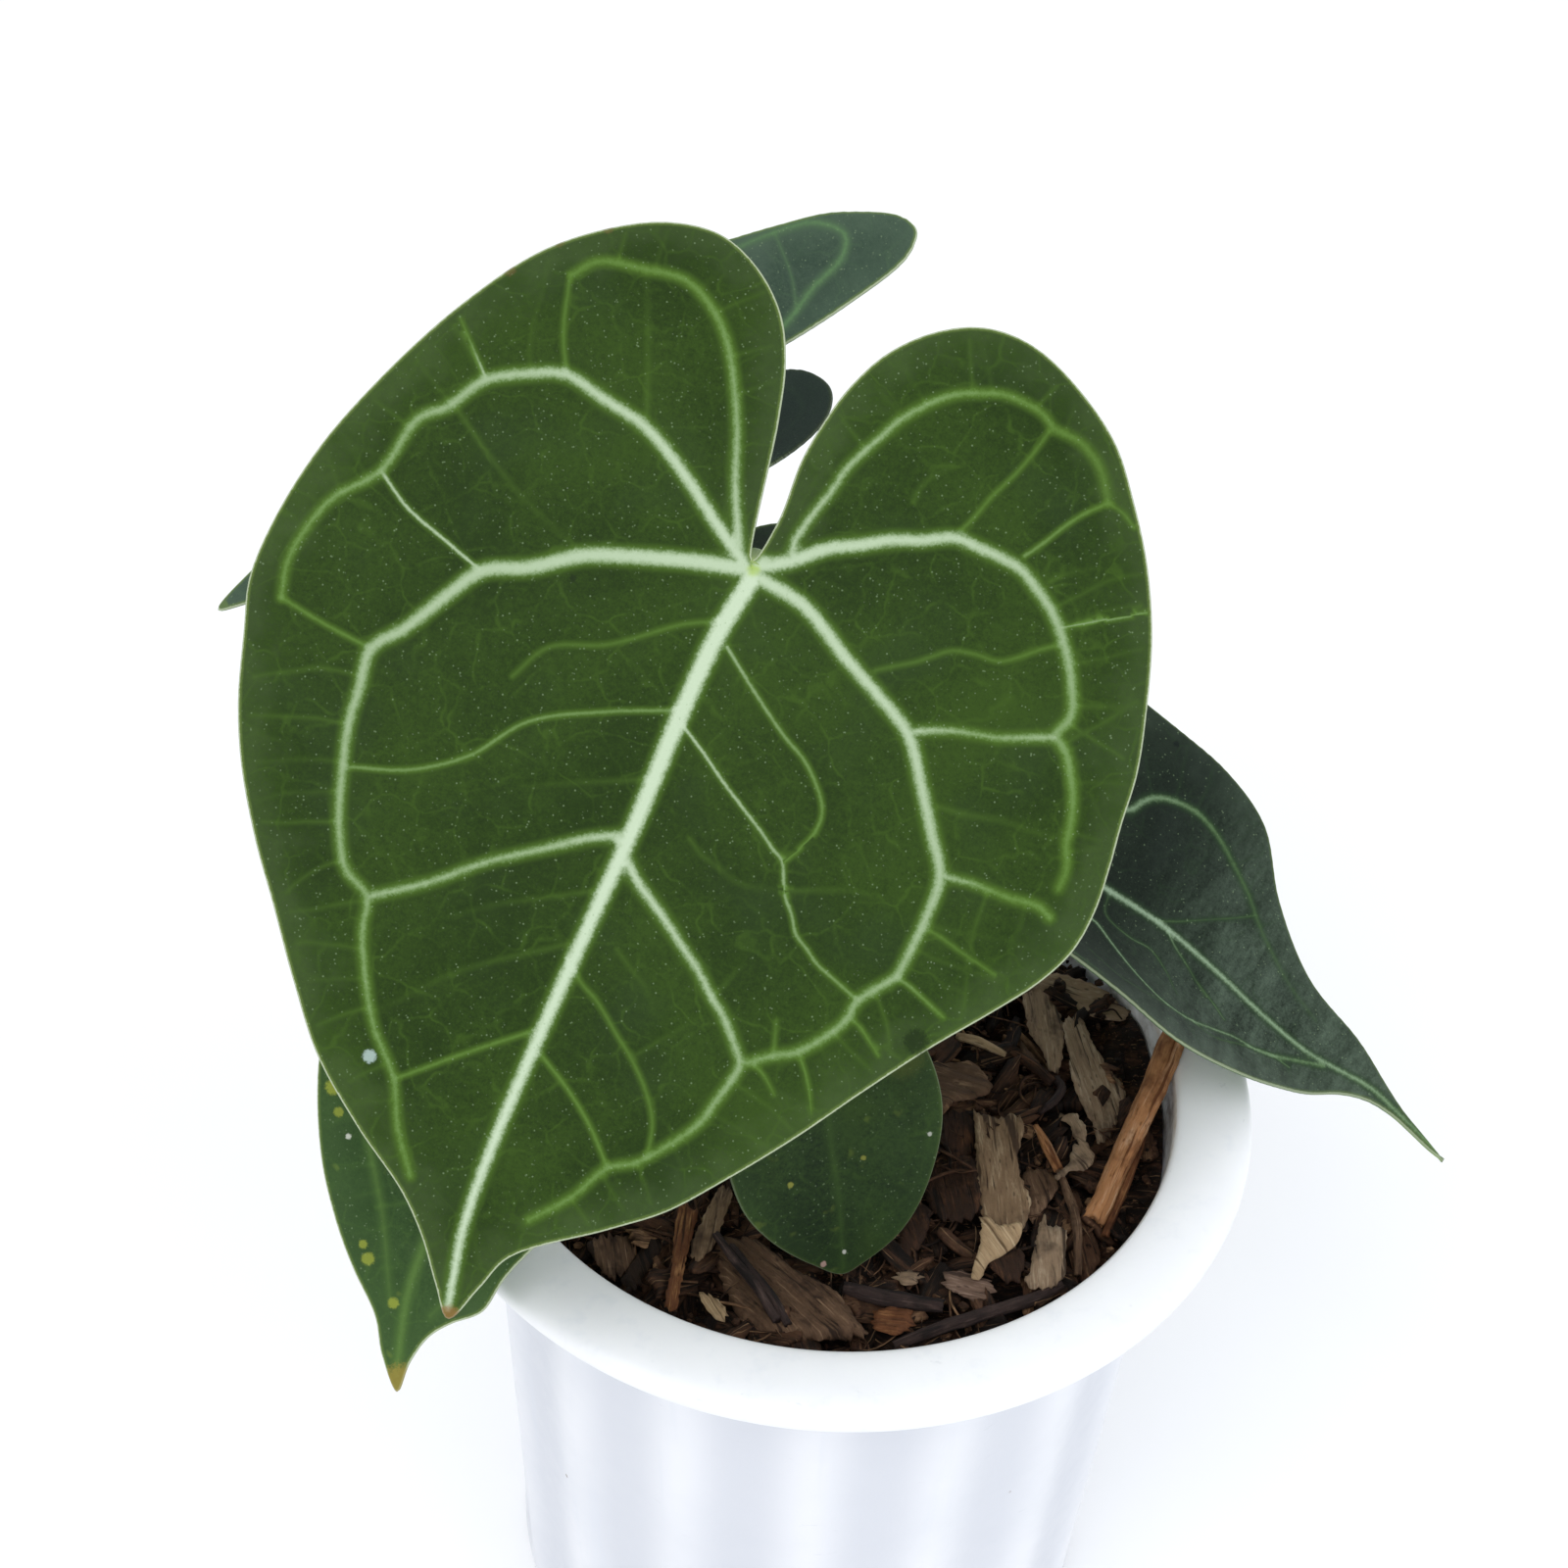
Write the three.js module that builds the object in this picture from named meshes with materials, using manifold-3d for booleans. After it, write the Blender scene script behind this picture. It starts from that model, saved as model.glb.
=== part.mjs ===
// Potted Anthurium clarinervium: five heart-shaped blades on long stalks, in a fluted nursery pot.
// Millimetres, +Z up. The origin is the centre of the pot's base, and the front of the plant looks along -Y.

import * as THREE from "three";
import Module from "manifold-3d";
import { mergeVertices } from "three/addons/utils/BufferGeometryUtils.js";

const wasm = await Module();
wasm.setup();

// Pot
const POT_HEIGHT = 130;
const RIM_OUTER_R = 75;
const RIM_WIDEST_Z = 126.5;
const MOUTH_R = 61.2;
const COLLAR_R = 73.3;
const COLLAR_LOW_Z = 123.6;
const BODY_TOP_R = 62.8;
const BODY_TOP_Z = 119;
const BODY_BASE_R = 56;
const WALL = 2.4;
const FLOOR = 3;
const FLUTES = 16;
const FLUTE_DEPTH = 1.1;
const FLUTE_LOW_Z = 6;
const FLUTE_HIGH_Z = 110;
const STEPS_PER_FLUTE = 5;
const DRAIN_HOLES = 6;
const DRAIN_R = 4;
const DRAIN_RING_R = 33;
const DRAIN_SIDES = 12;

// Potting mix
const MIX_LEVEL = 120.5;
const MIX_GAP = 0.3;
const MIX_RINGS = 6;
const MIX_SECTORS = 36;
const MIX_CHIPS = 22;
const CORNER_SPREAD = 2.4; // a plate's corners move out by this many gaps, so that its long sides clear one

// Plant
const SEAT_GAP = 0.3;
const BLADE_SEAT_GAP = 0.45;
const BLADE_THICKNESS = 0.8;
const BLADE_RINGS = [0.4, 0.76, 1];
const FINE_RIB_R = 1;
const RIB_SUNK_SHARE = 0.45;
const CROWN_R = 10;
const CROWN_TOP_Z = 131;
const CROWN_FOOT_Z = 108;
const CROWN_SIDES = 14;
const SHEATHS = 5;
const SHEATH_R = 3.4;
const SHEATH_HEIGHT = 26;
const SHEATH_SIDES = 6;
const SHEATH_LEAN = 16;
const STALK_R = 2.3;
const STALK_JOINT_R = 3;
const STALK_JOINT_LENGTH = 9;
const STALK_SIDES = 6;
const STALK_STEPS = 8;

const DEG = Math.PI / 180;
const UP = new THREE.Vector3(0, 0, 1);

// A small seeded generator keeps every build alike.
function seeded(seed) {
  let state = seed;
  return () => {
    state = (state * 1664525 + 1013904223) % 4294967296;
    return state / 4294967296;
  };
}

const between = (random, low, high) => low + (high - low) * random();
const vec = (point) => new THREE.Vector3(...point);

// Solids: geometry to manifold and back

function solidOf(geometry) {
  const bare = geometry.clone();
  bare.deleteAttribute("normal");
  bare.deleteAttribute("uv");
  const merged = mergeVertices(bare, 1e-4);
  const mesh = new wasm.Mesh({
    numProp: 3,
    vertProperties: new Float32Array(merged.attributes.position.array),
    triVerts: new Uint32Array(merged.index.array),
  });
  return new wasm.Manifold(mesh);
}

function geometryOf(solid) {
  const mesh = solid.getMesh();
  const geometry = new THREE.BufferGeometry();
  geometry.setAttribute("position", new THREE.BufferAttribute(mesh.vertProperties, 3));
  geometry.setIndex(new THREE.BufferAttribute(mesh.triVerts, 1));
  return geometry;
}

// The one body that remains when loose scrap from a cut is dropped.
function largestPiece(solid) {
  const pieces = solid.decompose();
  pieces.sort((a, b) => b.volume() - a.volume());
  return pieces[0];
}

function meshGeometry(points, triangles) {
  const geometry = new THREE.BufferGeometry();
  geometry.setAttribute("position", new THREE.Float32BufferAttribute(points.flat(), 3));
  geometry.setIndex(triangles.flat());
  return geometry;
}

// A round bar along a smooth curve, closed at both ends. grow makes it thicker and longer, for its seat.
function bar(points, radius, sides, steps, grow = 0) {
  const route = points.map(vec);
  const first = route[0];
  const last = route[route.length - 1];
  if (grow > 0) {
    first.add(first.clone().sub(route[1]).setLength(grow));
    last.add(last.clone().sub(route[route.length - 2]).setLength(grow));
  }
  const section = new THREE.Shape();
  section.absarc(0, 0, radius + grow, 0, 2 * Math.PI);
  const extrudePath = new THREE.CatmullRomCurve3(route);
  const options = { steps, extrudePath, curveSegments: sides / 2, bevelEnabled: false };
  return new THREE.ExtrudeGeometry(section, options);
}

// A flat plate with a ragged outline, its underside at z = 0 before it is placed.
function plate(outline, thickness) {
  const shape = new THREE.Shape(outline.map(([x, y]) => new THREE.Vector2(x, y)));
  return new THREE.ExtrudeGeometry(shape, { depth: thickness, bevelEnabled: false });
}

// Pot

const bodyRadius = (z) => BODY_BASE_R + ((BODY_TOP_R - BODY_BASE_R) * z) / BODY_TOP_Z;
const wallRadius = (z) => MOUTH_R - ((POT_HEIGHT - z) * (BODY_TOP_R - BODY_BASE_R)) / BODY_TOP_Z;

function potProfile() {
  const foot = [[0, 0], [BODY_BASE_R - 1, 0], [BODY_BASE_R, 1.2]];
  const body = [8, 60, 108].map((z) => [bodyRadius(z), z]);
  const neck = [[BODY_TOP_R, BODY_TOP_Z], [COLLAR_R - 2.5, COLLAR_LOW_Z - 0.6], [COLLAR_R, COLLAR_LOW_Z]];
  const roll = [
    [RIM_OUTER_R, RIM_WIDEST_Z],
    [RIM_OUTER_R - 1.2, RIM_WIDEST_Z + 2.2],
    [RIM_OUTER_R - 3.6, POT_HEIGHT - 0.4],
    [RIM_OUTER_R - 7.5, POT_HEIGHT + 0.2],
    [MOUTH_R + 1.6, POT_HEIGHT - 0.2],
    [MOUTH_R, POT_HEIGHT - 1.6],
  ];
  const inside = [[wallRadius(90), 90], [wallRadius(FLOOR), FLOOR], [0, FLOOR]];
  return [...foot, ...body, ...neck, ...roll, ...inside].map(([r, z]) => new THREE.Vector2(r, z));
}

// Narrow ridges with wide shallow flutes between, which fade out at the foot and under the collar.
function fluteDepthAt(angle, z) {
  const ridge = Math.abs(Math.cos((FLUTES * angle) / 2)) ** 3;
  const fadeIn = THREE.MathUtils.smoothstep(z, 0, FLUTE_LOW_Z);
  const fadeOut = 1 - THREE.MathUtils.smoothstep(z, FLUTE_HIGH_Z, BODY_TOP_Z);
  return FLUTE_DEPTH * fadeIn * fadeOut * (1 - ridge);
}

function makePot() {
  const lathe = new THREE.LatheGeometry(potProfile(), FLUTES * STEPS_PER_FLUTE);
  lathe.rotateX(Math.PI / 2);
  const position = lathe.attributes.position;
  for (let i = 0; i < position.count; i += 1) {
    const x = position.getX(i);
    const y = position.getY(i);
    const z = position.getZ(i);
    const r = Math.hypot(x, y);
    const onOutside = z < BODY_TOP_Z && r > wallRadius(z) + WALL / 4;
    if (onOutside) {
      const scale = (r - fluteDepthAt(Math.atan2(y, x), z)) / r;
      position.setXY(i, x * scale, y * scale);
    }
  }
  let pot = solidOf(lathe);
  for (let i = 0; i < DRAIN_HOLES; i += 1) {
    const angle = (2 * Math.PI * i) / DRAIN_HOLES;
    const hole = new THREE.CylinderGeometry(DRAIN_R, DRAIN_R, FLOOR * 3, DRAIN_SIDES);
    hole.rotateX(Math.PI / 2);
    hole.translate(DRAIN_RING_R * Math.cos(angle), DRAIN_RING_R * Math.sin(angle), 0);
    pot = pot.subtract(solidOf(hole));
  }
  return pot;
}

// Potting mix

function mixHeight(x, y) {
  const r = Math.hypot(x, y) / MOUTH_R;
  const heap = 1.6 * (1 - r * r);
  const broadLumps = 0.8 * Math.sin(0.21 * x + 0.4) * Math.cos(0.17 * y - 0.8);
  const fineLumps = 0.5 * Math.sin(0.43 * y + 0.31 * x);
  return MIX_LEVEL + heap + broadLumps + fineLumps;
}

function makeMixBody() {
  const points = [[0, 0, mixHeight(0, 0)]];
  const triangles = [];
  const ring = (k) => 1 + k * MIX_SECTORS;
  const addRing = (radiusAt, zAt) => {
    for (let i = 0; i < MIX_SECTORS; i += 1) {
      const angle = (2 * Math.PI * i) / MIX_SECTORS;
      const x = radiusAt * Math.cos(angle);
      const y = radiusAt * Math.sin(angle);
      points.push([x, y, zAt ?? mixHeight(x, y)]);
    }
  };
  const topR = wallRadius(MIX_LEVEL) - MIX_GAP - 0.2;
  for (let k = 1; k <= MIX_RINGS; k += 1) addRing((topR * k) / MIX_RINGS);
  const footZ = FLOOR + MIX_GAP;
  addRing(wallRadius(footZ) - MIX_GAP - 0.2, footZ);
  const last = MIX_RINGS;
  for (let i = 0; i < MIX_SECTORS; i += 1) {
    const j = (i + 1) % MIX_SECTORS;
    triangles.push([0, ring(0) + i, ring(0) + j]);
    for (let k = 0; k < last; k += 1) {
      const a = ring(k);
      const b = ring(k + 1);
      triangles.push([a + i, b + i, b + j], [a + i, b + j, a + j]);
    }
    triangles.push([points.length, ring(last) + j, ring(last) + i]);
  }
  points.push([0, 0, footZ]);
  return solidOf(meshGeometry(points, triangles));
}

// Chips of bark and husk lie at all angles, each sunk by about half into the mix.
function makeChips() {
  const random = seeded(20);
  const chips = [];
  for (let i = 0; i < MIX_CHIPS; i += 1) {
    const r = (MOUTH_R - 9) * Math.sqrt(between(random, 0.06, 1));
    const angle = 2 * Math.PI * random();
    const x = r * Math.cos(angle);
    const y = r * Math.sin(angle);
    const chip = new THREE.BoxGeometry(
      between(random, 6, 15), between(random, 3, 7), between(random, 1.5, 3.2));
    chip.rotateX(between(random, -0.5, 0.5));
    chip.rotateY(between(random, -0.35, 0.35));
    chip.rotateZ(2 * Math.PI * random());
    chip.translate(x, y, mixHeight(x, y) + between(random, -0.2, 0.5));
    chips.push(solidOf(chip));
  }
  return chips;
}

// Larger loose bits lie on the mix. place(extra) returns a bit's geometry grown by extra on every side, so
// that the same bit also cuts its own seat.

function lyingBar(points, radius) {
  const route = points.map(([x, y, lift]) => [x, y, mixHeight(x, y) + radius * 0.55 + lift]);
  return (extra) => bar(route, radius, 6, 2 * (route.length - 1), extra);
}

function lyingPlate(outline, thickness, at, tiltX, tiltY, lift) {
  return (extra) => {
    const corners = outline.map(([x, y]) => new THREE.Vector2(x, y));
    const centre = new THREE.Vector2();
    corners.forEach((corner) => centre.addScaledVector(corner, 1 / corners.length));
    const grown = corners.map((corner) => {
      const away = corner.sub(centre);
      away.setLength(away.length() + CORNER_SPREAD * extra);
      return [centre.x + away.x, centre.y + away.y];
    });
    const geometry = plate(grown, thickness + 2 * extra);
    geometry.translate(0, 0, -extra);
    geometry.rotateX(tiltX * DEG);
    geometry.rotateY(tiltY * DEG);
    geometry.translate(at[0], at[1], mixHeight(...at) + lift);
    return geometry;
  };
}

const LOOSE_BITS = [
  {
    name: "bark_twig",
    colour: 0xa5602c,
    place: lyingBar(
      [[62, 13.9, 11.3], [58.1, 3.7, 6.8], [54.7, -4.6, 4.1], [50.8, -13.8, 1.4], [46.8, -24, 0.4]], 2.4),
  },
  {
    name: "twig_thin",
    colour: 0x8a5f42,
    place: lyingBar([[37.6, -4, 0.8], [40.6, -14, 0.8], [43.2, -24, 0.6], [44.4, -34, 0.4]], 1),
  },
  {
    name: "bark_scrap_tan",
    colour: 0xa98462,
    place: lyingPlate(
      [[-5, 16], [3, 16], [4, 8], [3, 2], [4.5, -7], [1, -17], [-5, -18], [-3, -8], [-4, 0], [-3, 8]],
      1.6, [30, -20], 6, -10, 0.4),
  },
  {
    name: "bark_strip_grey",
    colour: 0x8b7762,
    place: lyingPlate(
      [[-5.5, 13], [-1, 14], [3.5, 3], [1.5, -9.5], [-1.5, -8], [-4.5, 2]],
      1.4, [47, 8], -5, -8, 0.8),
  },
  {
    name: "bark_strip_mid",
    colour: 0x7f6c58,
    place: lyingPlate(
      [[-3, 8], [2, 9], [4, 1], [3.5, -8], [0.5, -9], [-2.5, 0]],
      1.4, [36.6, 17], -5, 8, 0.8),
  },
  {
    name: "bark_strip_back",
    colour: 0x94806a,
    place: lyingPlate(
      [[-11, 3], [-3, 4], [9, -1], [10, -4], [1, -2.5], [-9, -1]],
      1.4, [43.5, 28.5], 8, 0, 0.9),
  },
  {
    name: "bark_strip_front",
    colour: 0x6f563f,
    place: lyingPlate(
      [[-3, -6], [1, -7], [3, -3], [3, 7], [0, 8], [-3, 3]],
      1.3, [38.4, -31], 4, 6, 0.6),
  },
  {
    name: "husk_chunk",
    colour: 0x5c3826,
    place: lyingPlate(
      [[-10, 10], [-2, 11], [6, 4], [10, -3], [7, -8], [-1, -7], [-8, -1]], 4.2, [-8, -44], 8, 4, -1),
  },
  {
    name: "bark_strip_red",
    colour: 0x6e3a28,
    place: lyingPlate(
      [[-5, -12], [-2, -13], [2, 1], [4, 12], [1, 13], [-2, 2]],
      1.6, [-23, -33], 3, -6, 0.6),
  },
  {
    name: "surface_root_front",
    colour: 0x35222a,
    place: lyingBar([[14, -52, 0.2], [24, -49, 0.4], [32, -45, 0.3], [39.5, -40, 0]], 1.2),
  },
  {
    name: "surface_root_middle",
    colour: 0x35222a,
    place: lyingBar([[4.5, -43, 0.5], [9, -44.5, 0.6], [14.5, -45.5, 0.6], [20, -45.8, 0.4]], 1.5),
  },
];

// Leaves. A blade's own frame starts at its stalk: x runs across, -y to the tip, and the third axis out of
// its upper face. The outline is a smooth closed curve through the points, as seen face on.
// fold lifts both halves from the midrib, droop bends the tip down, lobeDrop the lobes, curl both sides.

const LEAVES = {
  main: {
    colour: 0x2f4f22,
    stalkAt: [-18.9, -1.1, 243.2],
    tipHeading: -115.5,
    drop: 42.6,
    bank: -18,
    hub: [-1.5, -15],
    shape: {
      fold: 0.08, droop: 9, lobeDrop: 7, curl: 6,
      length: 124, back: 50, half: 70, wave: 0.9, waves: 13,
    },
    outline: [
      [-0.5, 1.1], [-4.8, 22.8], [-7.3, 31.9], [-11, 39], [-16.8, 44.3], [-24.1, 47.1], [-32, 46.1],
      [-39.7, 42.4], [-49, 34.3], [-57.6, 20.4], [-65.5, 2.6], [-69.3, -8.2], [-71.5, -19.9],
      [-71.5, -30.1], [-69.1, -38], [-65.7, -49.1], [-61.8, -57.7], [-55.8, -66.9], [-48.8, -75.8],
      [-41.9, -85.1], [-34.2, -94.7], [-24.4, -102.6], [-14.4, -109.3], [-9, -114.6], [-4.2, -120.9],
      [-0.4, -125.3], [2.4, -118.9], [4.9, -112.7], [17.4, -102.9], [24.8, -96.9], [31.3, -89],
      [38.7, -79], [45.8, -68.4], [53, -58.2], [59.4, -50], [64.6, -42.7], [67.7, -36.1], [68.7, -29],
      [68.3, -22], [67.4, -15.1], [66.7, -7.3], [64.7, 1.7], [61.2, 13.3], [56.6, 23], [50.6, 32.1],
      [44.7, 39.7], [37, 45.5], [29.4, 49], [23.1, 49.7], [17.1, 48.4], [11, 44.6], [6.4, 39.2],
      [3.4, 32.4], [1.9, 26.5], [0.7, 18.6], [0.9, 8.6],
    ],
    splits: 1,
    ribs: [
      {
        radius: 1.5,
        steps: 7,
        points: [[-1, -3], [-0.7, -25.5], [-3.2, -46.8], [-4.2, -79.7], [-4.1, -110.9]],
      },
      {
        radius: 1,
        steps: 7,
        points: [[-2, -2], [-23.3, 14.2], [-38, 17.4], [-49.2, 11.5], [-58.5, -7.6], [-66.2, -25]],
      },
      {
        radius: 1,
        steps: 8,
        points: [
          [-2, -2], [-24.7, -8], [-43, -21.5], [-49.6, -33.4], [-44, -60.1], [-34.4, -74],
          [-18.3, -100.2],
        ],
      },
      {
        radius: 1,
        steps: 8,
        points: [
          [-1, -3], [19.1, -6.2], [37.1, -20.9], [46.4, -39.8], [41.1, -54.9], [26.7, -71.3],
          [13.8, -94],
        ],
      },
      {
        radius: 1,
        steps: 7,
        points: [[-1, -2], [14.1, 10.2], [27.7, 16.9], [44, 12.8], [53.6, -1.2], [62.2, -25.4]],
      },
      {
        radius: 0.9,
        steps: 6,
        points: [[-0.6, -1], [4.1, 14.8], [11.1, 30.2], [26.7, 40.4], [44.3, 33], [47.4, 29.2]],
      },
      {
        radius: 0.9,
        steps: 6,
        points: [[-2, -1], [-6.8, 10.4], [-17.2, 31.1], [-26.7, 38.3], [-40.5, 35.9]],
      },
    ],
    stalk: [[-1.2, -1.5, 126], [-7, -1, 165], [-16, 4, 212]],
  },
  right: {
    colour: 0x22392f,
    stalkAt: [9.5, 36.8, 170.2],
    tipHeading: -22.4,
    drop: 24.3,
    bank: -11,
    hub: [1.5, -14],
    shape: {
      fold: 0.4, droop: 8, lobeDrop: 0, curl: 0,
      length: 120, back: 50, half: 40, wave: 0.7, waves: 9,
    },
    outline: [
      [0, 2], [-5, 16], [-7.5, 30], [-11, 40], [-17, 44], [-25, 41], [-31, 32], [-35, 18], [-37, 2],
      [-36, -16], [-33.5, -32], [-30.5, -50], [-28.5, -63], [-17.5, -78], [-5, -90], [3.8, -98.2],
      [7.6, -104.2], [8.7, -109], [8.6, -114], [8.5, -119], [9, -122.4], [9.7, -119], [10.5, -114.5],
      [11.3, -110.2], [12.6, -105.6], [16.1, -96.7], [19.7, -83.5], [28, -71],
      [37.4, -61.6], [41.5, -50.2], [43, -39.9], [43.5, -28], [43, -10], [41, 8], [37.5, 24], [33, 37],
      [26, 46], [18.5, 49], [11, 45], [7.5, 33], [5, 17],
    ],
    splits: 2,
    ribs: [
      { radius: 1.2, steps: 6, points: [[0, -3], [4, -25], [6, -43], [7.3, -70], [9.5, -104]] },
      {
        radius: 0.9,
        steps: 6,
        points: [[1.5, -3], [14, -10], [24, -24], [28.6, -43], [26.5, -58.5], [19, -78]],
      },
      {
        radius: 0.9,
        steps: 6,
        points: [[-1.5, -3], [-12, -12], [-20, -30], [-20, -48], [-14, -64], [-2, -84]],
      },
    ],
    stalk: [[5.4, 2, 126], [10, 11, 140], [13, 26, 157]],
  },
  back: {
    colour: 0x243f34,
    stalkAt: [-25.9, 75.6, 225.3],
    tipHeading: -157.6,
    drop: 19.9,
    bank: -12,
    hub: [0.5, -12],
    shape: {
      fold: 0.3, droop: 6, lobeDrop: 0, curl: 0,
      length: 105, back: 50, half: 40, wave: 0.6, waves: 9,
    },
    outline: [
      [0, 3], [-0.7, 11], [-3.3, 24.9], [-6.5, 38.6], [-9.5, 41.6], [-14.2, 40.2], [-19, 31.6],
      [-21.4, 21.4], [-24.3, 7.9], [-26, -8], [-25.5, -26], [-23, -44], [-19, -60], [-13, -78],
      [-9.8, -90.5], [-6.3, -99.2], [-3.1, -90.5], [6, -84], [14, -70], [20, -54], [24, -38], [26, -20],
      [26.8, -0.8], [21.5, 10], [14.9, 14], [7.7, 12.1], [3, 8],
    ],
    splits: 2,
    ribs: [
      { radius: 1.2, steps: 6, points: [[0, -3], [-1, -30], [-2.4, -60], [-3.6, -92]] },
      {
        radius: 0.9,
        steps: 6,
        points: [[-1, -3], [-4.2, 12.5], [-11.5, 28], [-17, 28], [-19.5, 14], [-18, -10]],
      },
      { radius: 0.9, steps: 6, points: [[1.5, -3], [12, -8], [17, -26], [13, -48], [5, -70]] },
    ],
    stalk: [[-0.4, 5.6, 126], [-9, 20, 149], [-17, 42, 180], [-23.8, 62.5, 207]],
  },
  low_left: {
    colour: 0x35552b,
    stalkAt: [-48.3, -7.6, 173.2],
    tipHeading: -108.9,
    drop: 37.1,
    bank: 0,
    hub: [-0.5, -11],
    shape: {
      fold: 0.25, droop: 5, lobeDrop: 0, curl: 0,
      length: 83, back: 30, half: 30, wave: 0.7, waves: 8,
    },
    outline: [
      [0, 1.5], [-2, 10], [-5, 18], [-10, 22], [-17, 22], [-24, 16], [-28.5, 4], [-30.5, -10],
      [-30.5, -24], [-28.9, -37.1], [-24, -51.4], [-18.8, -59.9], [-13.5, -66.6], [-7.9, -72.8],
      [-4.9, -78.5], [-0.6, -83.4], [0, -78.3], [1.8, -73.3], [4.8, -70.1], [9.8, -66.4], [12, -60],
      [19, -47], [25, -34], [28.5, -20], [28.5, -5], [26, 9], [20, 18.5], [13, 21.5], [6.5, 19],
      [2.5, 11],
    ],
    splits: 2,
    ribs: [
      { radius: 1.1, steps: 7, points: [[0, -3], [-2, -30], [-3.6, -60], [-2.2, -79]] },
      {
        radius: 0.8,
        steps: 6,
        points: [[-1.5, -3], [-14, -6], [-22, -22], [-19, -42], [-11, -58]],
      },
      { radius: 0.8, steps: 6, points: [[1.5, -3], [13, -6], [20, -22], [16, -42], [8, -56]] },
    ],
    stalk: [[-6.6, 0.8, 126], [-18, 2, 138], [-36, 2, 158]],
  },
  small: {
    colour: 0x2c4a24,
    stalkAt: [-1.9, -25.1, 161.2],
    tipHeading: -70,
    drop: 62.6,
    bank: 0,
    hub: [0, -8],
    shape: {
      fold: 0.2, droop: 2, lobeDrop: 0, curl: 0,
      length: 40, back: 16, half: 20, wave: 0.4, waves: 7,
    },
    outline: [
      [0, 1.5], [-1.8, 7], [-6, 10.5], [-12, 9], [-17.5, 3], [-20, -6], [-20, -15.5], [-17.7, -24.3],
      [-12.9, -31.3], [-6.1, -37.4], [-0.9, -40.6], [2.7, -39.3], [8.8, -35.1], [13.3, -29],
      [17, -19.5], [18, -11], [16.5, -2], [12.5, 6], [6.5, 9.8], [2, 6.5],
    ],
    splits: 2,
    ribs: [
      { radius: 0.8, steps: 5, points: [[0, -3], [-1, -14], [-0.6, -26], [-0.8, -37]] },
    ],
    stalk: [[1, -6.6, 126], [1, -12, 136], [0, -19, 152]],
  },
};

function bladeAxes(leaf) {
  const heading = leaf.tipHeading * DEG;
  const drop = leaf.drop * DEG;
  const tip = vec([Math.cos(drop) * Math.cos(heading), Math.cos(drop) * Math.sin(heading), -Math.sin(drop)]);
  const across = UP.clone().cross(tip).normalize();
  across.applyAxisAngle(tip, leaf.bank * DEG);
  const y = tip.clone().negate();
  const normal = across.clone().cross(y);
  return { x: across, y, normal };
}

// How far the blade's middle surface stands out of its own flat plane at (x, y).
function bladeLift(shape, x, y) {
  const soft = 4;
  const fold = shape.fold * (Math.sqrt(x * x + soft * soft) - soft);
  const droop = shape.droop * (Math.max(-y, 0) / shape.length) ** 2;
  const lobeDrop = shape.lobeDrop * (Math.max(y, 0) / shape.back) ** 2;
  const curl = shape.curl * (x / shape.half) ** 2;
  return fold - droop - lobeDrop - curl;
}

function bladePoint(leaf, axes, x, y, out) {
  const point = vec(leaf.stalkAt);
  point.addScaledVector(axes.x, x);
  point.addScaledVector(axes.y, y);
  point.addScaledVector(axes.normal, out);
  return point.toArray();
}

// The blade is a web of rings round its hub, split alike on both faces, with a waved margin.
function makeBladeWeb(leaf, axes, grow) {
  const curve = new THREE.CatmullRomCurve3(leaf.outline.map(([x, y]) => vec([x, y, 0])), true, "centripetal");
  const n = leaf.outline.length * leaf.splits;
  const margin = curve.getPoints(n).slice(0, n);
  const [hubX, hubY] = leaf.hub;
  const half = BLADE_THICKNESS / 2 + grow;
  const flat = [[hubX, hubY, 0]];
  BLADE_RINGS.forEach((reach) => {
    margin.forEach((point, i) => {
      const wave = leaf.shape.wave * reach ** 4 * Math.sin((2 * Math.PI * leaf.shape.waves * i) / n);
      const out = reach === 1 ? grow : 0;
      const dx = point.x - hubX;
      const dy = point.y - hubY;
      const stretch = reach + out / Math.hypot(dx, dy);
      flat.push([hubX + dx * stretch, hubY + dy * stretch, wave]);
    });
  });
  const faceAt = (offset) => flat.map(([x, y, wave]) => {
    const out = bladeLift(leaf.shape, x, y) + wave + offset;
    return bladePoint(leaf, axes, x, y, out);
  });
  const points = [...faceAt(half), ...faceAt(-half)];
  const count = flat.length;
  const face = [];
  for (let i = 0; i < n; i += 1) {
    const j = (i + 1) % n;
    face.push([0, 1 + i, 1 + j]);
    for (let k = 0; k + 1 < BLADE_RINGS.length; k += 1) {
      const a = 1 + k * n;
      const b = a + n;
      face.push([a + i, b + i, b + j], [a + i, b + j, a + j]);
    }
  }
  const triangles = [];
  face.forEach(([a, b, c]) => triangles.push([a, b, c], [count + a, count + c, count + b]));
  const rim = count - n;
  for (let i = 0; i < n; i += 1) {
    const j = (i + 1) % n;
    triangles.push([rim + i, count + rim + i, count + rim + j], [rim + i, count + rim + j, rim + j]);
  }
  return solidOf(meshGeometry(points, triangles));
}

// Ribs stand out of both faces, most of all underneath, because their middle is sunk below the web's.
function makeBlade(leaf, grow = 0) {
  const axes = bladeAxes(leaf);
  let blade = makeBladeWeb(leaf, axes, grow);
  leaf.ribs.forEach(({ radius, steps, points }) => {
    const sunk = radius * RIB_SUNK_SHARE;
    const route = points.map(([x, y]) => bladePoint(leaf, axes, x, y, bladeLift(leaf.shape, x, y) - sunk));
    const sides = radius > FINE_RIB_R ? 6 : 4;
    blade = blade.add(solidOf(bar(route, radius, sides, steps, grow)));
  });
  return largestPiece(blade);
}

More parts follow.
